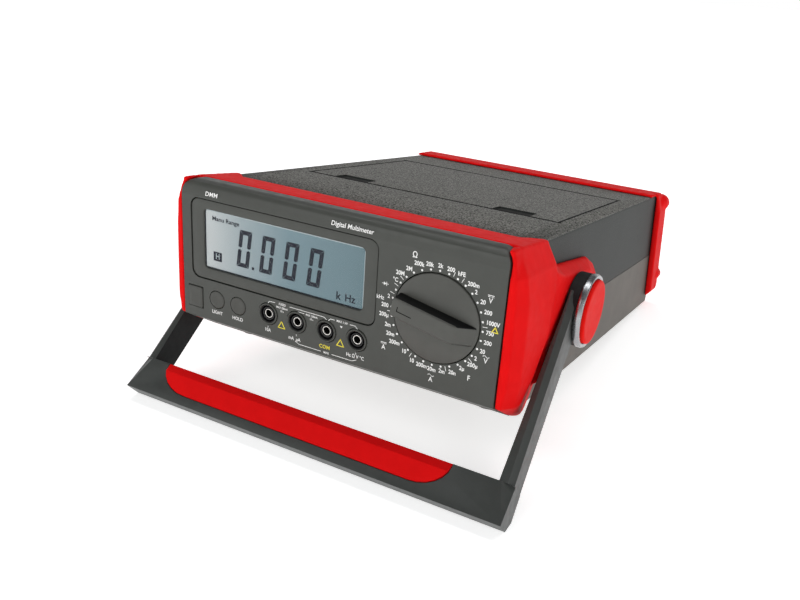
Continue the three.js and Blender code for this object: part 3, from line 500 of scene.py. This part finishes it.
def write(bm, words, x, z, height, align="CENTER", squeeze=SQUEEZE, slant=0.0, weight=0.02):
    """Adds flat words whose capitals are height millimetres tall, with their middle at height z."""
    FONT.body = words
    FONT.size = height / CAPITALS
    FONT.align_x = align
    FONT.shear = slant
    FONT.offset = weight * height
    bpy.context.view_layer.update()
    graph = bpy.context.evaluated_depsgraph_get()
    mesh = bpy.data.meshes.new_from_object(LETTERS.evaluated_get(graph))
    mesh.transform(Matrix.Translation((x, z, 0)) @ Matrix.Diagonal((squeeze, 1, 1, 1)))
    bm.from_mesh(mesh)
    bpy.data.meshes.remove(mesh)


def polygon(bm, points):
    """A flat face with those corners, as (x, z)."""
    bm.faces.new([bm.verts.new((x, z, 0)) for x, z in points])


def dot(bm, x, z, radius, sides=20):
    turns = [2 * math.pi * side / sides for side in range(sides)]
    polygon(bm, [(x + radius * math.cos(turn), z + radius * math.sin(turn)) for turn in turns])


def stroke(bm, points, width):
    """A line of that width along the points."""
    for (x0, z0), (x1, z1) in zip(points, points[1:]):
        run = math.hypot(x1 - x0, z1 - z0)
        ux, uz = (x1 - x0) / run * width / 2, (z1 - z0) / run * width / 2
        polygon(bm, [(x0 - ux - uz, z0 - uz + ux), (x0 - ux + uz, z0 - uz - ux),
                     (x1 + ux + uz, z1 + uz - ux), (x1 + ux - uz, z1 + uz + ux)])


def print_piece(name, bm, look, depth, body="case"):
    """Flat printing drawn in x and z, put on the panel at a depth."""
    for face in bm.faces:
        face.normal_update()
        if face.normal.z < 0:
            face.normal_flip()
    mesh = plain_mesh(bm, name, PANEL @ Matrix.Translation((0, depth, 0)) @ ON_FACE)
    show(name, mesh, look, body)


# the legends round the dial, clockwise; a bar is a dividing tick before the next position
DIAL = ("2M", "200k", "20k", "2k", "200", "|", "hFE", "|", "200m", "2", "20", "200", "1000V", "|", "750",
        "200", "20", "2", "|", "200µ", "2µ", "20n", "|", "2m", "20m", "200m", "10", "|", "10", "200m", "20m",
        "2m", "200µ", "|", "200", "2", "|", "", "|", "°C", "|", "20M")
TICK = {"length": 2.2, "width": 0.3}
DOT_RADIUS = 0.55
RANGE_HEIGHT = 2.2
SIDE_GAP = 1.7                    # from the dots to a word beside the dial, over or under it, and between
TOP_GAP = 2.5
CORNER_GAP = 3.1
NUDGE_OUT = 1.6                   # how far the words over and under it are moved sideways at most


def around_dial(degrees, radius):
    angle = math.radians(degrees)
    return KNOB_X + radius * math.sin(angle), radius * math.cos(angle)


def dial_words(bm, words, degrees):
    """A range number outside its dot, set against the dial's side or centred over or under it."""
    sideways = math.sin(math.radians(degrees))
    if abs(sideways) > 0.5:
        x, z = around_dial(degrees, DIAL_RADIUS + SIDE_GAP)
        align = "LEFT" if sideways > 0 else "RIGHT"
    else:
        x, z = around_dial(degrees, DIAL_RADIUS + (CORNER_GAP if abs(sideways) > 0.3 else TOP_GAP))
        x += NUDGE_OUT * sideways
        align = "CENTER"
    write(bm, words, x, z, RANGE_HEIGHT, align, weight=0.035)


def dial_legend(bm):
    """Dots, dividing ticks and range numbers round the knob."""
    degrees = DIAL_START
    for words in DIAL:
        if words == "|":
            tick = degrees - DIAL_STEP / 2
            inner, outer = around_dial(tick, DIAL_RADIUS), around_dial(tick, DIAL_RADIUS + TICK["length"])
            stroke(bm, [inner, outer], TICK["width"])
            continue
        dot(bm, *around_dial(degrees, DIAL_RADIUS), DOT_RADIUS)
        if words:
            dial_words(bm, words, degrees)
        degrees += DIAL_STEP


def direct_mark(bm, x, z):
    """The dash over two dashes that stands for direct current."""
    dashes = ((-1.5, 1.5, 0.7, 0.35), (-1.5, -0.3, 0, 0.25), (0.3, 1.5, 0, 0.25))
    for left, right, height, width in dashes:
        stroke(bm, [(x + left, z + height), (x + right, z + height)], width)


def wave_mark(bm, x, z, length=3.2, rise=0.45, steps=8):
    """The wave that stands for alternating current."""
    stroke(bm, [(x + length * (step / steps - 0.5), z + rise * math.sin(2 * math.pi * step / steps))
                for step in range(steps + 1)], 0.35)


def diode_mark(bm, x, z):
    polygon(bm, [(x, z + 0.9), (x, z - 0.9), (x + 1.5, z)])
    stroke(bm, [(x + 1.6, z - 0.9), (x + 1.6, z + 0.9)], 0.3)
    stroke(bm, [(x - 0.9, z), (x + 2.6, z)], 0.25)


def unit_marks(bm):
    """Unit letters outside the range numbers, with the marks of direct and alternating current."""
    write(bm, "Ω", 49.4, 29.9, 3)
    for letter, x, z in (("V", 90.6, 16.4), ("A", 35.2, -23.2)):
        write(bm, letter, x, z, 2.6)
        direct_mark(bm, x, z + 2)
    for letter, x, z in (("V", 91.4, -14.8), ("A", 63.2, -33.2)):
        write(bm, letter, x, z, 2.6)
        wave_mark(bm, x, z + 2.4)
    write(bm, "F", 83.6, -26.4, 2.8)
    write(bm, "kHz", 31.6, 3.6, 2.2)
    diode_mark(bm, 33.2, 11.4)


# words under the keys and sockets: what, middle x and z, height, width against the font's own
SOCKET_WORDS = (
    ("LIGHT", -73.9, -32.8, 2, 0.95), ("HOLD", -59.3, -32.8, 2, 0.95), ("10A", -38.2, -33.7, 2, SQUEEZE),
    ("mA  µA", -20.2, -34.2, 2, SQUEEZE), ("Hz Ω V °C", 18.6, -33.6, 2, SQUEEZE),
    ("MAX", 0.6, -36.7, 1.3, SQUEEZE), ("FUSED", -28.6, -16.3, 1.3, SQUEEZE),
    ("MAX 1 kV", 9.8, -16.3, 1.3, SQUEEZE),
)
# the brackets that join the sockets: the points of each line, as (x, z)
BRACKETS = (
    ((-19.6, -35.4), (-17.2, -36.6), (-3, -36.6)), ((4.2, -36.6), (16.8, -36.6), (19.4, -35.4)),
    ((-38.1, -17.4), (-37, -16.3), (-33.6, -16.3)), ((-23.6, -16.3), (-1.4, -16.3), (0, -17.4)),
    ((1.4, -17.6), (2.6, -16.3), (5, -16.3)), ((14.8, -16.3), (18, -16.3), (19.2, -17.6)),
)
BRACKET_WIDTH = 0.3


def socket_legend(bm):
    """Words under the keys and sockets, and the brackets that join the sockets."""
    for words, x, z, height, squeeze in SOCKET_WORDS:
        write(bm, words, x, z, height, squeeze=squeeze)
    for points in BRACKETS:
        stroke(bm, points, BRACKET_WIDTH)
    stroke(bm, [(-19, -18.2), (-18, -17.7), (-14.2, -17.7)], 0.25)
    for row, words in enumerate(("MAX 200mA", "10 s")):
        write(bm, words, -28.8, -18.4 - 1.9 * row, 1.15)
        write(bm, words, -9.4, -18 - 1.9 * row, 1.15)
    polygon(bm, [(8.6, -18.6), (10.2, -18.6), (9.4, -19.8)])
    for x in JACKS[:2] + JACKS[3:]:
        stroke(bm, [(x, -31.4), (x, -32.2)], BRACKET_WIDTH)


def triangle(bm, x, z, size):
    """A plain outlined triangle; a size of 1 is 4.4 mm wide."""
    low, high, half = z - 1.6 * size, z + 2.2 * size, 2.2 * size
    stroke(bm, [(x - half, low), (x + half, low), (x, high), (x - half, low)], 0.5)


def front_print():
    white = bmesh.new()
    dial_legend(white)
    unit_marks(white)
    socket_legend(white)
    write(white, "Digital Multimeter", 13.2, 36.2, 2.5, slant=0.2, squeeze=0.95)
    write(white, "DMM", -77, 35.8, 2.5, slant=0.2, squeeze=1.05)
    print_piece("panel_print_white", white, WHITE_PRINT, -PRINT_LIFT)
    yellow = bmesh.new()
    write(yellow, "COM", -0.6, -33.5, 2.1, squeeze=1.0)
    for x, z, size in ((-28.9, -28.6, 1), (9.2, -28.6, 1), (94.4, 2.2, 0.7)):
        triangle(yellow, x, z, size)
    print_piece("panel_print_yellow", yellow, YELLOW_PRINT, -PRINT_LIFT)


# ---------------------------------------------------------------- display
DIGIT = {"left": -61.1, "bottom": -1.7, "width": 8.4, "height": 21.4, "pitch": 15.5, "slant": 0.125,
         "stroke": 2.5}
DIGITS = 4
POINT = {"gap": 2.2, "size": 1.7, "corner": 0.4}
HOLD_BOX = (-77.2, -71.3, -2.2, 3.2, 0.3)
NUDGE = 0.2                       # neighbouring segments are held apart by about this
TAPER = 0.4                       # of the stroke, where a segment narrows to its point
# the lines round the display are painted shadow and painted highlight
EDGE_SHADING = 0.3                      # half the width of the line round the display


def segment_zero(bm, left):
    """The six lit segments of a seven-segment 0, leaning to the right."""
    base, width, height, thick = DIGIT["bottom"], DIGIT["width"], DIGIT["height"], DIGIT["stroke"]
    right, middle = left + width, base + height / 2

    def lean(points):
        return [(x + (z - base) * DIGIT["slant"], z) for x, z in points]

    for outer, inner in ((base, base + thick), (base + height, base + height - thick)):
        polygon(bm, lean([(left + NUDGE, outer), (right - NUDGE, outer),
                          (right - thick, inner), (left + thick, inner)]))
    for outer, inner in ((left, left + thick), (right, right - thick)):
        for end, toward in ((base, 1), (base + height, -1)):
            near = middle - toward * thick * TAPER
            polygon(bm, lean([
                (outer, end + toward * NUDGE), (inner, end + toward * thick), (inner, near),
                ((outer + inner) / 2, middle - toward * 2 * NUDGE), (outer, near)]))


def display_digits():
    dark = bmesh.new()
    for digit in range(DIGITS):
        segment_zero(dark, DIGIT["left"] + digit * DIGIT["pitch"])
    left, low, size = DIGIT["left"] + DIGIT["width"] + POINT["gap"], DIGIT["bottom"], POINT["size"]
    polygon(dark, rounded_rect(left, left + size, low, low + size, POINT["corner"], 2))
    write(dark, "Manu Range", -77.9, 22.3, 2.4, "LEFT", squeeze=1.12, weight=0.035)
    write(dark, "k", 4.4, -2.9, 4.4, "LEFT", squeeze=0.95, weight=0.03)
    write(dark, "Hz", 9.8, -2.9, 4.1, "LEFT", squeeze=0.95, weight=0.03)
    polygon(dark, rounded_rect(*HOLD_BOX, 2))
    print_piece("display_segments", dark, SEGMENT_INK_AND_SHADOW, SEGMENT_DEPTH)


def display_edge_shading():
    """Painted shadow, a dark line at the display's left and bottom edges, and painted highlight, a light one
    at its top and right.
    """
    left, right = GLASS["left"] + EDGE_SHADING, GLASS["right"] - EDGE_SHADING
    low, high = GLASS["bottom"] + EDGE_SHADING, GLASS["top"] - EDGE_SHADING
    dark = bmesh.new()
    # painted shadow
    stroke(dark, [(left, high), (left, low), (right, low)], 2 * EDGE_SHADING)
    print_piece("display_edge_shadow", dark, SEGMENT_INK_AND_SHADOW, SEGMENT_DEPTH)
    light = bmesh.new()
    # painted highlight
    stroke(light, [(left, high), (right, high), (right, low)], 2 * EDGE_SHADING)
    write(light, "H", -74.25, 0.5, 3.4, weight=0.01)
    print_piece("display_highlight_and_hold_letter", light, CRYSTAL_LIGHT_AND_HIGHLIGHT, SEGMENT_DEPTH - PRINT_LIFT)


def rect_of(opening, gap=0.0):
    """An opening's outline as (left, right, bottom, top, corner), drawn in by a gap."""
    return (opening["left"] + gap, opening["right"] - gap, opening["bottom"] + gap, opening["top"] - gap,
            opening["corner"])


def display_block():
    """The glass right behind the bezel's window, and the clear window over it."""
    rect = rect_of(GLASS)
    glass = skin(bmesh.new(), [rect_loop(rect, SEGMENT_DEPTH + PRINT_LIFT), rect_loop(rect, GLASS_BACK)])
    show("display_glass", finish_mesh(glass, "glass", PANEL, EDGE["rounded"]), CRYSTAL, "case",
         ["lcd_glass"])
    back = SEGMENT_DEPTH - 3 * PRINT_LIFT
    pane = skin(bmesh.new(), [rect_loop(rect, WINDOW_DEPTH), rect_loop(rect, back)])
    show("display_window", finish_mesh(pane, "pane", PANEL, EDGE["rounded"]), CLEAR, "case",
         ["lcd_window"])


# depth behind the bezel's front and how far in from the outline, round the frame's section
BEZEL_OUTSIDE = ((0.4, 0), (0.1, 0.15), (0, 0.45))
BEZEL_INSIDE = ((0, -0.9), (0.12, -0.45), (0.5, -0.15))


def bezel():
    """The flush frame round the display, with a rounded rim and a rounded window edge."""
    outer, inner = rect_of(LCD, BEZEL_GAP), rect_of(GLASS)
    loops = [rect_loop(outer, BEZEL_BACK)]
    loops += [rect_loop(outer, BEZEL_FRONT + depth, shrink) for depth, shrink in BEZEL_OUTSIDE]
    loops += [rect_loop(inner, BEZEL_FRONT + depth, shrink) for depth, shrink in BEZEL_INSIDE]
    loops += [rect_loop(inner, BEZEL_BACK)]
    bm = skin(bmesh.new(), loops, closed=True)
    show("display_bezel", finish_mesh(bm, "bezel", PANEL, EDGE["rounded"]), PANEL_GREY, "case",
         ["lcd_bezel"])


def corner_fillets(bm, thickness=3):
    """Fills the square corners of the display opening, leaving an arc that follows the bezel's corner."""
    reach = LCD["corner"] + PANEL_GAP
    angles = [math.radians(angle) for angle in range(0, 91, 15)]
    for x, along in ((LCD["left"] - PANEL_GAP, 1), (LCD["right"] + PANEL_GAP, -1)):
        for z, up in ((LCD["bottom"] - PANEL_GAP, 1), (LCD["top"] + PANEL_GAP, -1)):
            arc = [(x + along * reach * (1 - math.sin(angle)), z + up * reach * (1 - math.cos(angle)))
                   for angle in angles]
            flat = [(x, z)] + arc
            skin(bm, [[(px, depth, pz) for px, pz in flat] for depth in (0, thickness)])


def front_panel():
    """The panel with the display opening's corners rounded to match the bezel."""
    bm = cad_shape("front_panel")
    bm.transform(Matrix.Rotation(-LEAN, 4, "X"))
    corner_fillets(bm)
    show("front_panel_moulding", finish_mesh(bm, "front_panel", PANEL, EDGE["panel"]), PANEL_GREY, "case",
         ["front_panel"])


# ---------------------------------------------------------------- knob, keys and sockets
# turned outlines, as (radius, depth behind the panel's face)
KNOB_PROFILE = ((7, 6), (7, 4.6), (KNOB_RADIUS, 4.6), (KNOB_RADIUS, -0.3), (KNOB_RADIUS - 0.15, -0.6),
                (KNOB_RADIUS - 0.5, -0.8), (1, -0.8))
KEY_PROFILE = ((2, 15), (2, 5), (KEY_RADIUS, 5), (KEY_RADIUS, 0.2), (KEY_RADIUS - 0.15, -0.08),
               (KEY_RADIUS - 0.5, -0.25), (KEY_RADIUS - 1, -0.28), (1.5, 0.1), (0.4, 0.12))
COLLAR_PROFILE = ((6.2, 3), (6.2, -0.25), (6.05, -0.6), (5.7, -0.78), (5.35, -0.7), (5.15, -0.4), (5.1, 3))
WELL_PROFILE = ((3.0, 20), (3.0, 0.55), (3.2, 0.3), (3.6, 0.3), (3.85, 0.6), (3.85, 9), (4.75, 9),
                (4.75, 0.2), (4.85, -0.15), (5.08, -0.2), (5.08, 22), (4, 22))
# a black lining inside the contact sleeve: painted shade down the hole
BORE_SHADE_PROFILE = ((2, 16), (2, 1.4), (2.05, 1.4), (2.05, 18.5), (1, 18.5), (1, 16))
SLEEVE_PROFILE = ((2.05, 1.4), (2.05, 0.75), (2.15, 0.6), (2.5, 0.6), (2.62, 0.75), (2.62, 18.5),
                  (2.05, 18.5))
# the grip's outline at each height: how much shorter it is at both ends and again at the pointer's end,
# and how much wider on each side
GRIP_LEVELS = ((-0.5, 0, 0, 0.3), (0.9, 0, 0, 0.3), (GRIP_LIFT - 1.2, 0.5, 7, 0),
               (GRIP_LIFT - 0.5, 0.8, 8, -0.15), (GRIP_LIFT - 0.12, 1.2, 8.9, -0.45),
               (GRIP_LIFT, 1.9, 10, -1))
# the power key's outline at each depth: how far in it is drawn
POWER_LEVELS = ((5, 0), (-0.2, 0), (-0.45, 0.12), (-0.6, 0.45), (-0.5, 2.2))


def grip_wall_shaded(middle, normal):
    """The grip's long side walls, below its rounded top, which are painted near-black as painted shade."""
    return middle.y > GRIP_CROWN - GRIP_LIFT and abs(middle.z) > GRIP_HALF - 0.5


def knob_grip():
    reach = KNOB_RADIUS - GRIP_SHORT
    bar = []
    for lift, ends, slope, sides in GRIP_LEVELS:
        flat = rounded_rect(-reach + ends, reach - ends - slope, -GRIP_HALF - sides, GRIP_HALF + sides,
                            GRIP_CORNER, 4)
        bar.append([(x, -lift, z) for x, z in flat])
    placement = PANEL @ Matrix.Translation((KNOB_X, 0, 0)) @ Matrix.Rotation(GRIP_TURN + math.pi / 2, 4, "Y")
    mesh = finish_mesh(skin(bmesh.new(), bar), "grip", placement, EDGE["turned"])
    piece = show("range_knob_grip", mesh, KNOB_GREY, "knob")
    # painted shade on the grip's side walls
    second_look(piece, KNOB_WALL_SHADE, grip_wall_shaded, placement)


def range_knob():
    disc = lathe(KNOB_PROFILE, (KNOB_X, 0), 96, closed=False)
    show("range_knob_disc", finish_mesh(disc, "knob", PANEL, EDGE["turned"]), KNOB_GREY, "knob",
         ["range_knob"])
    knob_grip()
    left, right, half = MARK["left"], MARK["right"], MARK["half"]
    mark = bmesh.new()
    stroke(mark, [(left, -half), (left, half)], MARK["width"])
    stroke(mark, [(left, -half), (right, -half)], MARK["width"])
    mark.transform(Matrix.Rotation(-GRIP_TURN - math.pi / 2, 4, "Z"))
    mark.transform(Matrix.Translation((KNOB_X, 0, 0)))
    print_piece("knob_pointer", mark, SHADE_AND_MARK_BLACK, -GRIP_LIFT - PRINT_LIFT, "knob")


def power_key():
    rect = (POWER["x"] - POWER["half_width"], POWER["x"] + POWER["half_width"],
            POWER["z"] - POWER["half_height"], POWER["z"] + POWER["half_height"], POWER["corner"])
    bm = skin(bmesh.new(), [rect_loop(rect, depth, shrink) for depth, shrink in POWER_LEVELS])
    show("power_key_cap", finish_mesh(bm, "power", PANEL, EDGE["rounded"]), BUTTON_GREY, "power_key",
         ["power_button"])


def round_key(name, x):
    bm = lathe(KEY_PROFILE, (x, KEY_Z), closed=False)
    show(f"{name}_key_cap", finish_mesh(bm, name, PANEL, EDGE["rounded"]), BUTTON_GREY, f"{name}_key",
         [f"{name}_button"])


def jack_part(name, profile, x, sharp, look, stands_for=()):
    mesh = finish_mesh(lathe(profile, (x, JACK_Z)), name, PANEL, sharp)
    show(name, mesh, look, "case", stands_for)


def jack(index, x):
    """A shrouded socket: a grey collar, a black well and core, and a metal contact sleeve in the core, lined
    with black past its mouth as painted shade down the hole.
    """
    turned = EDGE["turned"]
    jack_part(f"jack_collar_{index}", COLLAR_PROFILE, x, EDGE["collar"], PANEL_GREY)
    jack_part(f"jack_well_{index}", WELL_PROFILE, x, turned, BLACK, [f"jack_body_{index}"])
    # painted shade: the sleeve's inside is black past its mouth
    jack_part(f"jack_bore_shade_{index}", BORE_SHADE_PROFILE, x, turned, SHADE_AND_MARK_BLACK)
    jack_part(f"jack_contact_{index}", SLEEVE_PROFILE, x, turned, NICKEL,
              [f"jack_sleeve_{index}"])


# ---------------------------------------------------------------- hubs
def about_hub(side):
    """Local Y runs outward along the handle's axis."""
    return CASE @ Matrix(((0, side, 0, 0), (0, 0, 1, HUB[0]), (1, 0, 0, HUB[1]), (0, 0, 0, 1)))


def rim_profile():
    """The rim's section, with a rounded outer shoulder."""
    out, start, end = HUB_RIM["radius"], HUB_RIM["start"], HUB_RIM["end"]
    bore = HUB_CAP["radius"] + PANEL_GAP
    return [(bore, start), (out - 0.2, start), (out, start + 0.3), (out, end - 1.2), (out - 0.3, end - 0.9),
            (out - 0.3, end - 0.6), (out - 0.6, end - 0.1), (out - 1, end), (bore + 0.5, end),
            (bore, end - 0.3)]


def cap_profile():
    """The cap's outline, rounded at its edge and very slightly dished."""
    out, start, end = HUB_CAP["radius"], HUB_CAP["start"], HUB_CAP["end"]
    return [(out, start), (out, end - 1), (out - 0.15, end - 0.5), (out - 0.55, end - 0.15),
            (out - 1.3, end), (out * 0.8, end - 0.15), (out * 0.4, end - 0.3), (0.5, end - 0.32)]


def hub(letter, side):
    rim = finish_mesh(lathe(rim_profile(), sides=96), "rim", about_hub(side), EDGE["rounded"])
    show(f"hub_{letter}_rim", rim, RIM_METAL, "handle", [f"hub_rim_{letter}"])
    cap = lathe(cap_profile(), sides=96, closed=False)
    show(f"hub_{letter}_cap", finish_mesh(cap, "cap", about_hub(side), EDGE["rounded"]), RED_PLASTIC,
         "handle", [f"hub_cap_{letter}"])


# ---------------------------------------------------------------- case, handle and the rest
def case_edge(a, b):
    """Whether an edge is one of the two long upper edges of the case."""
    along = abs(a.x - b.x) < CLOSE / 2 and abs(a.z - b.z) < CLOSE / 2
    return along and abs(abs(a.x) - CASE_HALF) < CLOSE and abs(a.z - CASE_TOP) < CLOSE


def in_shaded_catch(middle, normal):
    """Whether a face is the floor of a finger catch, which is painted darker as painted shade in the recess.
    """
    return abs(normal.z) > 0.5 and abs(middle.z - CASE_TOP + CATCH_DEPTH) < 0.3


def lid_joint_shadow():
    """The joint round the lid, drawn as a black strip on the case wider than the real gap: mostly painted
    shadow of the joint's groove.
    """
    bm = bmesh.new()
    out = LID["half"] + LID_JOINT["side"]
    front, back = LID["front"] - LID_JOINT["end"], LID["back"] + LID_JOINT["end"]
    for x in (-out, out):
        stroke(bm, [(x, front), (x, back)], LID_JOINT["side_width"])
    for y in (front, back):
        stroke(bm, [(-out, y), (out, y)], LID_JOINT["end_width"])
    mesh = plain_mesh(bm, "lid_joint_shadow", CASE @ Matrix.Translation((0, 0, CASE_TOP + PRINT_LIFT)))
    show("lid_joint_painted_shadow", mesh, SHADE_AND_MARK_BLACK, "case")


def shells():
    bm = cad_shape("upper_case")
    round_edges(bm, case_edge, CASE_EDGE)
    show("upper_case_moulding", finish_mesh(bm, "upper_case", CASE, EDGE["case"]), SHELL, "case",
         ["upper_case"])
    from_cad("lower_case", LOWER_SHELL, "case")
    lid = from_cad("accessory_lid", SHELL, "lid", bevel=0.3)
    # painted shade on the floors of the finger catches
    second_look(lid, CATCH_SHADE, in_shaded_catch)
    # painted shadow of the joint round the lid
    lid_joint_shadow()
    from_cad("battery_door", LOWER_SHELL, "case", bevel=0.4)


def in_shade(middle, normal):
    """Whether a face is an arm's inner side or a drum's wall, which get a blacker, matt material as painted
    shade.
    """
    inward = normal.x * math.copysign(1, middle.x) < -0.7 and abs(middle.x) > ARM_INSIDE
    from_hub = math.hypot(middle.y - HUB[0], middle.z - HUB[1])
    return inward or (from_hub < HUB_RIM["radius"] and abs(normal.x) < 0.3)


def handle():
    bail = from_cad("handle_bail", HANDLE_GREY, "handle", bevel=0.9, segments=3)
    # painted shade on the arms' inner sides and the drums' walls
    second_look(bail, HANDLE_PAINTED_SHADE, in_shade)
    from_cad("handle_grip", RED_RUBBER, "handle", bevel=0.8, segments=3)


# CAD nodes shown as they are, most of them inside the case
PLAIN = {
    "rear_panel": PANEL_GREY, "lcd_backlight": DIFFUSER,
    "lcd_carrier": BLACK, "power_switch": BLACK, "light_switch": BLACK, "hold_switch": BLACK,
    "switch_rotor": BLACK, "main_board": BOARD, "power_board": BOARD, "fuse_1": STEEL, "fuse_2": STEEL,
    "transformer_core": CORE_STEEL, "transformer_coil": COPPER_TAPE, "mains_inlet": BLACK,
    "accessory_tray": BLACK, "battery_box": BLACK, "front_foot_l": FOOT, "front_foot_r": FOOT,
    "hub_bolt_l": STEEL, "hub_bolt_r": STEEL,
}


def plain_nodes():
    for node, look in PLAIN.items():
        carried_over(node, look)
    for node in frame["nodes"]:
        if node.startswith("cell_"):
            carried_over(node, CELL_SLEEVE)
        if node.startswith("case_screw_"):
            carried_over(node, STEEL)


# ---------------------------------------------------------------- stage, lights and camera
FLOOR_HALF = 12                   # metres, as are the other sizes of the stage
FLOOR_DROP = 0.0002
GLOW_FROM = (0.3, 0.6)            # distance from the middle and strength of the floor's glow there
GLOW_TO = (1.5, 1.0)
HORIZON = (0.1, (1, 1, 1, 1))     # height in the sky and colour
ZENITH = (0.45, (0.13, 0.135, 0.14, 1))


def floor_look():
    """Pale floor that grows lighter away from the meter, so that it runs into the sky."""
    look = Look("floor", (0.93, 0.93, 0.93), 0.9, specular=0.1)
    socket(look.shader, "Emission Color", (1, 1, 1, 1))
    distance = look.node("ShaderNodeVectorMath", operation="LENGTH")
    look.link(look.place, distance.inputs[0])
    glow = look.node("ShaderNodeMapRange")
    socket(glow, "From Min", GLOW_FROM[0])
    socket(glow, "From Max", GLOW_TO[0])
    socket(glow, "To Min", GLOW_FROM[1])
    socket(glow, "To Max", GLOW_TO[1])
    look.link(distance.outputs["Value"], glow.inputs["Value"])
    look.link(glow.outputs["Result"], look.shader.inputs["Emission Strength"])
    look.grain(4, 0.02)
    return look.material


def floor():
    bm = bmesh.new()
    bmesh.ops.create_grid(bm, x_segments=4, y_segments=4, size=FLOOR_HALF)
    mesh = plain_mesh(bm, "floor", Matrix.Identity(4))
    mesh.materials.append(floor_look())
    plane = bpy.data.objects.new("floor", mesh)
    bpy.context.scene.collection.objects.link(plane)
    plane.location.z = CAD_BOX[0].z - FLOOR_DROP


def sky():
    """White near the horizon and dimmer overhead, like a studio cyclorama."""
    world = bpy.data.worlds.new("studio")
    world.use_nodes = True
    tree = world.node_tree
    back = tree.nodes["Background"]
    place = tree.nodes.new("ShaderNodeTexCoord")
    split = tree.nodes.new("ShaderNodeSeparateXYZ")
    ramp = tree.nodes.new("ShaderNodeValToRGB")
    for element, (height, colour) in zip(ramp.color_ramp.elements, (HORIZON, ZENITH)):
        element.position = height
        element.color = colour
    tree.links.new(place.outputs["Generated"], split.inputs["Vector"])
    tree.links.new(split.outputs["Z"], ramp.inputs["Fac"])
    tree.links.new(ramp.outputs["Color"], back.inputs["Color"])
    socket(back, "Strength", 1.0)
    bpy.context.scene.world = world


def softbox(name, place, aim, size, power):
    data = bpy.data.lights.new(name, "AREA")
    data.shape = "RECTANGLE"
    data.size, data.size_y = size
    data.energy = power
    lamp = bpy.data.objects.new(name, data)
    lamp.location = place
    lamp.rotation_euler = (Vector(aim) - Vector(place)).to_track_quat("-Z", "Y").to_euler()
    bpy.context.scene.collection.objects.link(lamp)


def lights():
    aim = (0, -0.05, 0.08)
    softbox("front_key", (-0.7, -1.7, 1.2), aim, (1.4, 1.0), 11)
    softbox("right_fill", (1.5, -1.1, 0.9), aim, (0.8, 0.8), 5)
    softbox("overhead", (0.0, 0.25, 1.7), aim, (2.2, 0.5), 13)


LENS = 38.4                       # millimetres, as is the sensor
SENSOR = 36
AZIMUTH = math.radians(27.49)     # the camera stands to the right of the panel's normal
ELEVATION = math.radians(21.63)
ROLL = math.radians(4.27)
DISTANCE = 443.4 * MM
AIM = ORIGIN + Vector((34.2, 16.6, -2.7)) * MM


def camera():
    data = bpy.data.cameras.new("camera")
    data.lens = LENS
    data.sensor_width = SENSOR
    data.clip_start = 0.01
    eye = bpy.data.objects.new("camera", data)
    level = math.cos(ELEVATION)
    forward = Vector((-math.sin(AZIMUTH) * level, math.cos(AZIMUTH) * level, -math.sin(ELEVATION)))
    turn = forward.to_track_quat("-Z", "Y").to_matrix().to_4x4() @ Matrix.Rotation(ROLL, 4, "Z")
    eye.matrix_world = Matrix.Translation(AIM - forward * DISTANCE) @ turn
    bpy.context.scene.collection.objects.link(eye)
    bpy.context.scene.camera = eye
    bpy.context.scene.view_settings.view_transform = "Standard"


# ---------------------------------------------------------------- assembly
camera()
lights()
sky()
floor()
plain_nodes()
shells()
moulded("front_bumper", RED_RUBBER, "case")
moulded("rear_bumper", RED_RUBBER, "case")
front_panel()
bezel()
display_block()
display_digits()
display_edge_shading()
front_print()
range_knob()
power_key()
for key_name, key_x in ROUND_KEYS.items():
    round_key(key_name, key_x)
for jack_number, jack_x in enumerate(JACKS, 1):
    jack(jack_number, jack_x)
for hub_letter, hub_side in (("l", -1), ("r", 1)):
    hub(hub_letter, hub_side)
handle()
bpy.data.objects.remove(LETTERS)
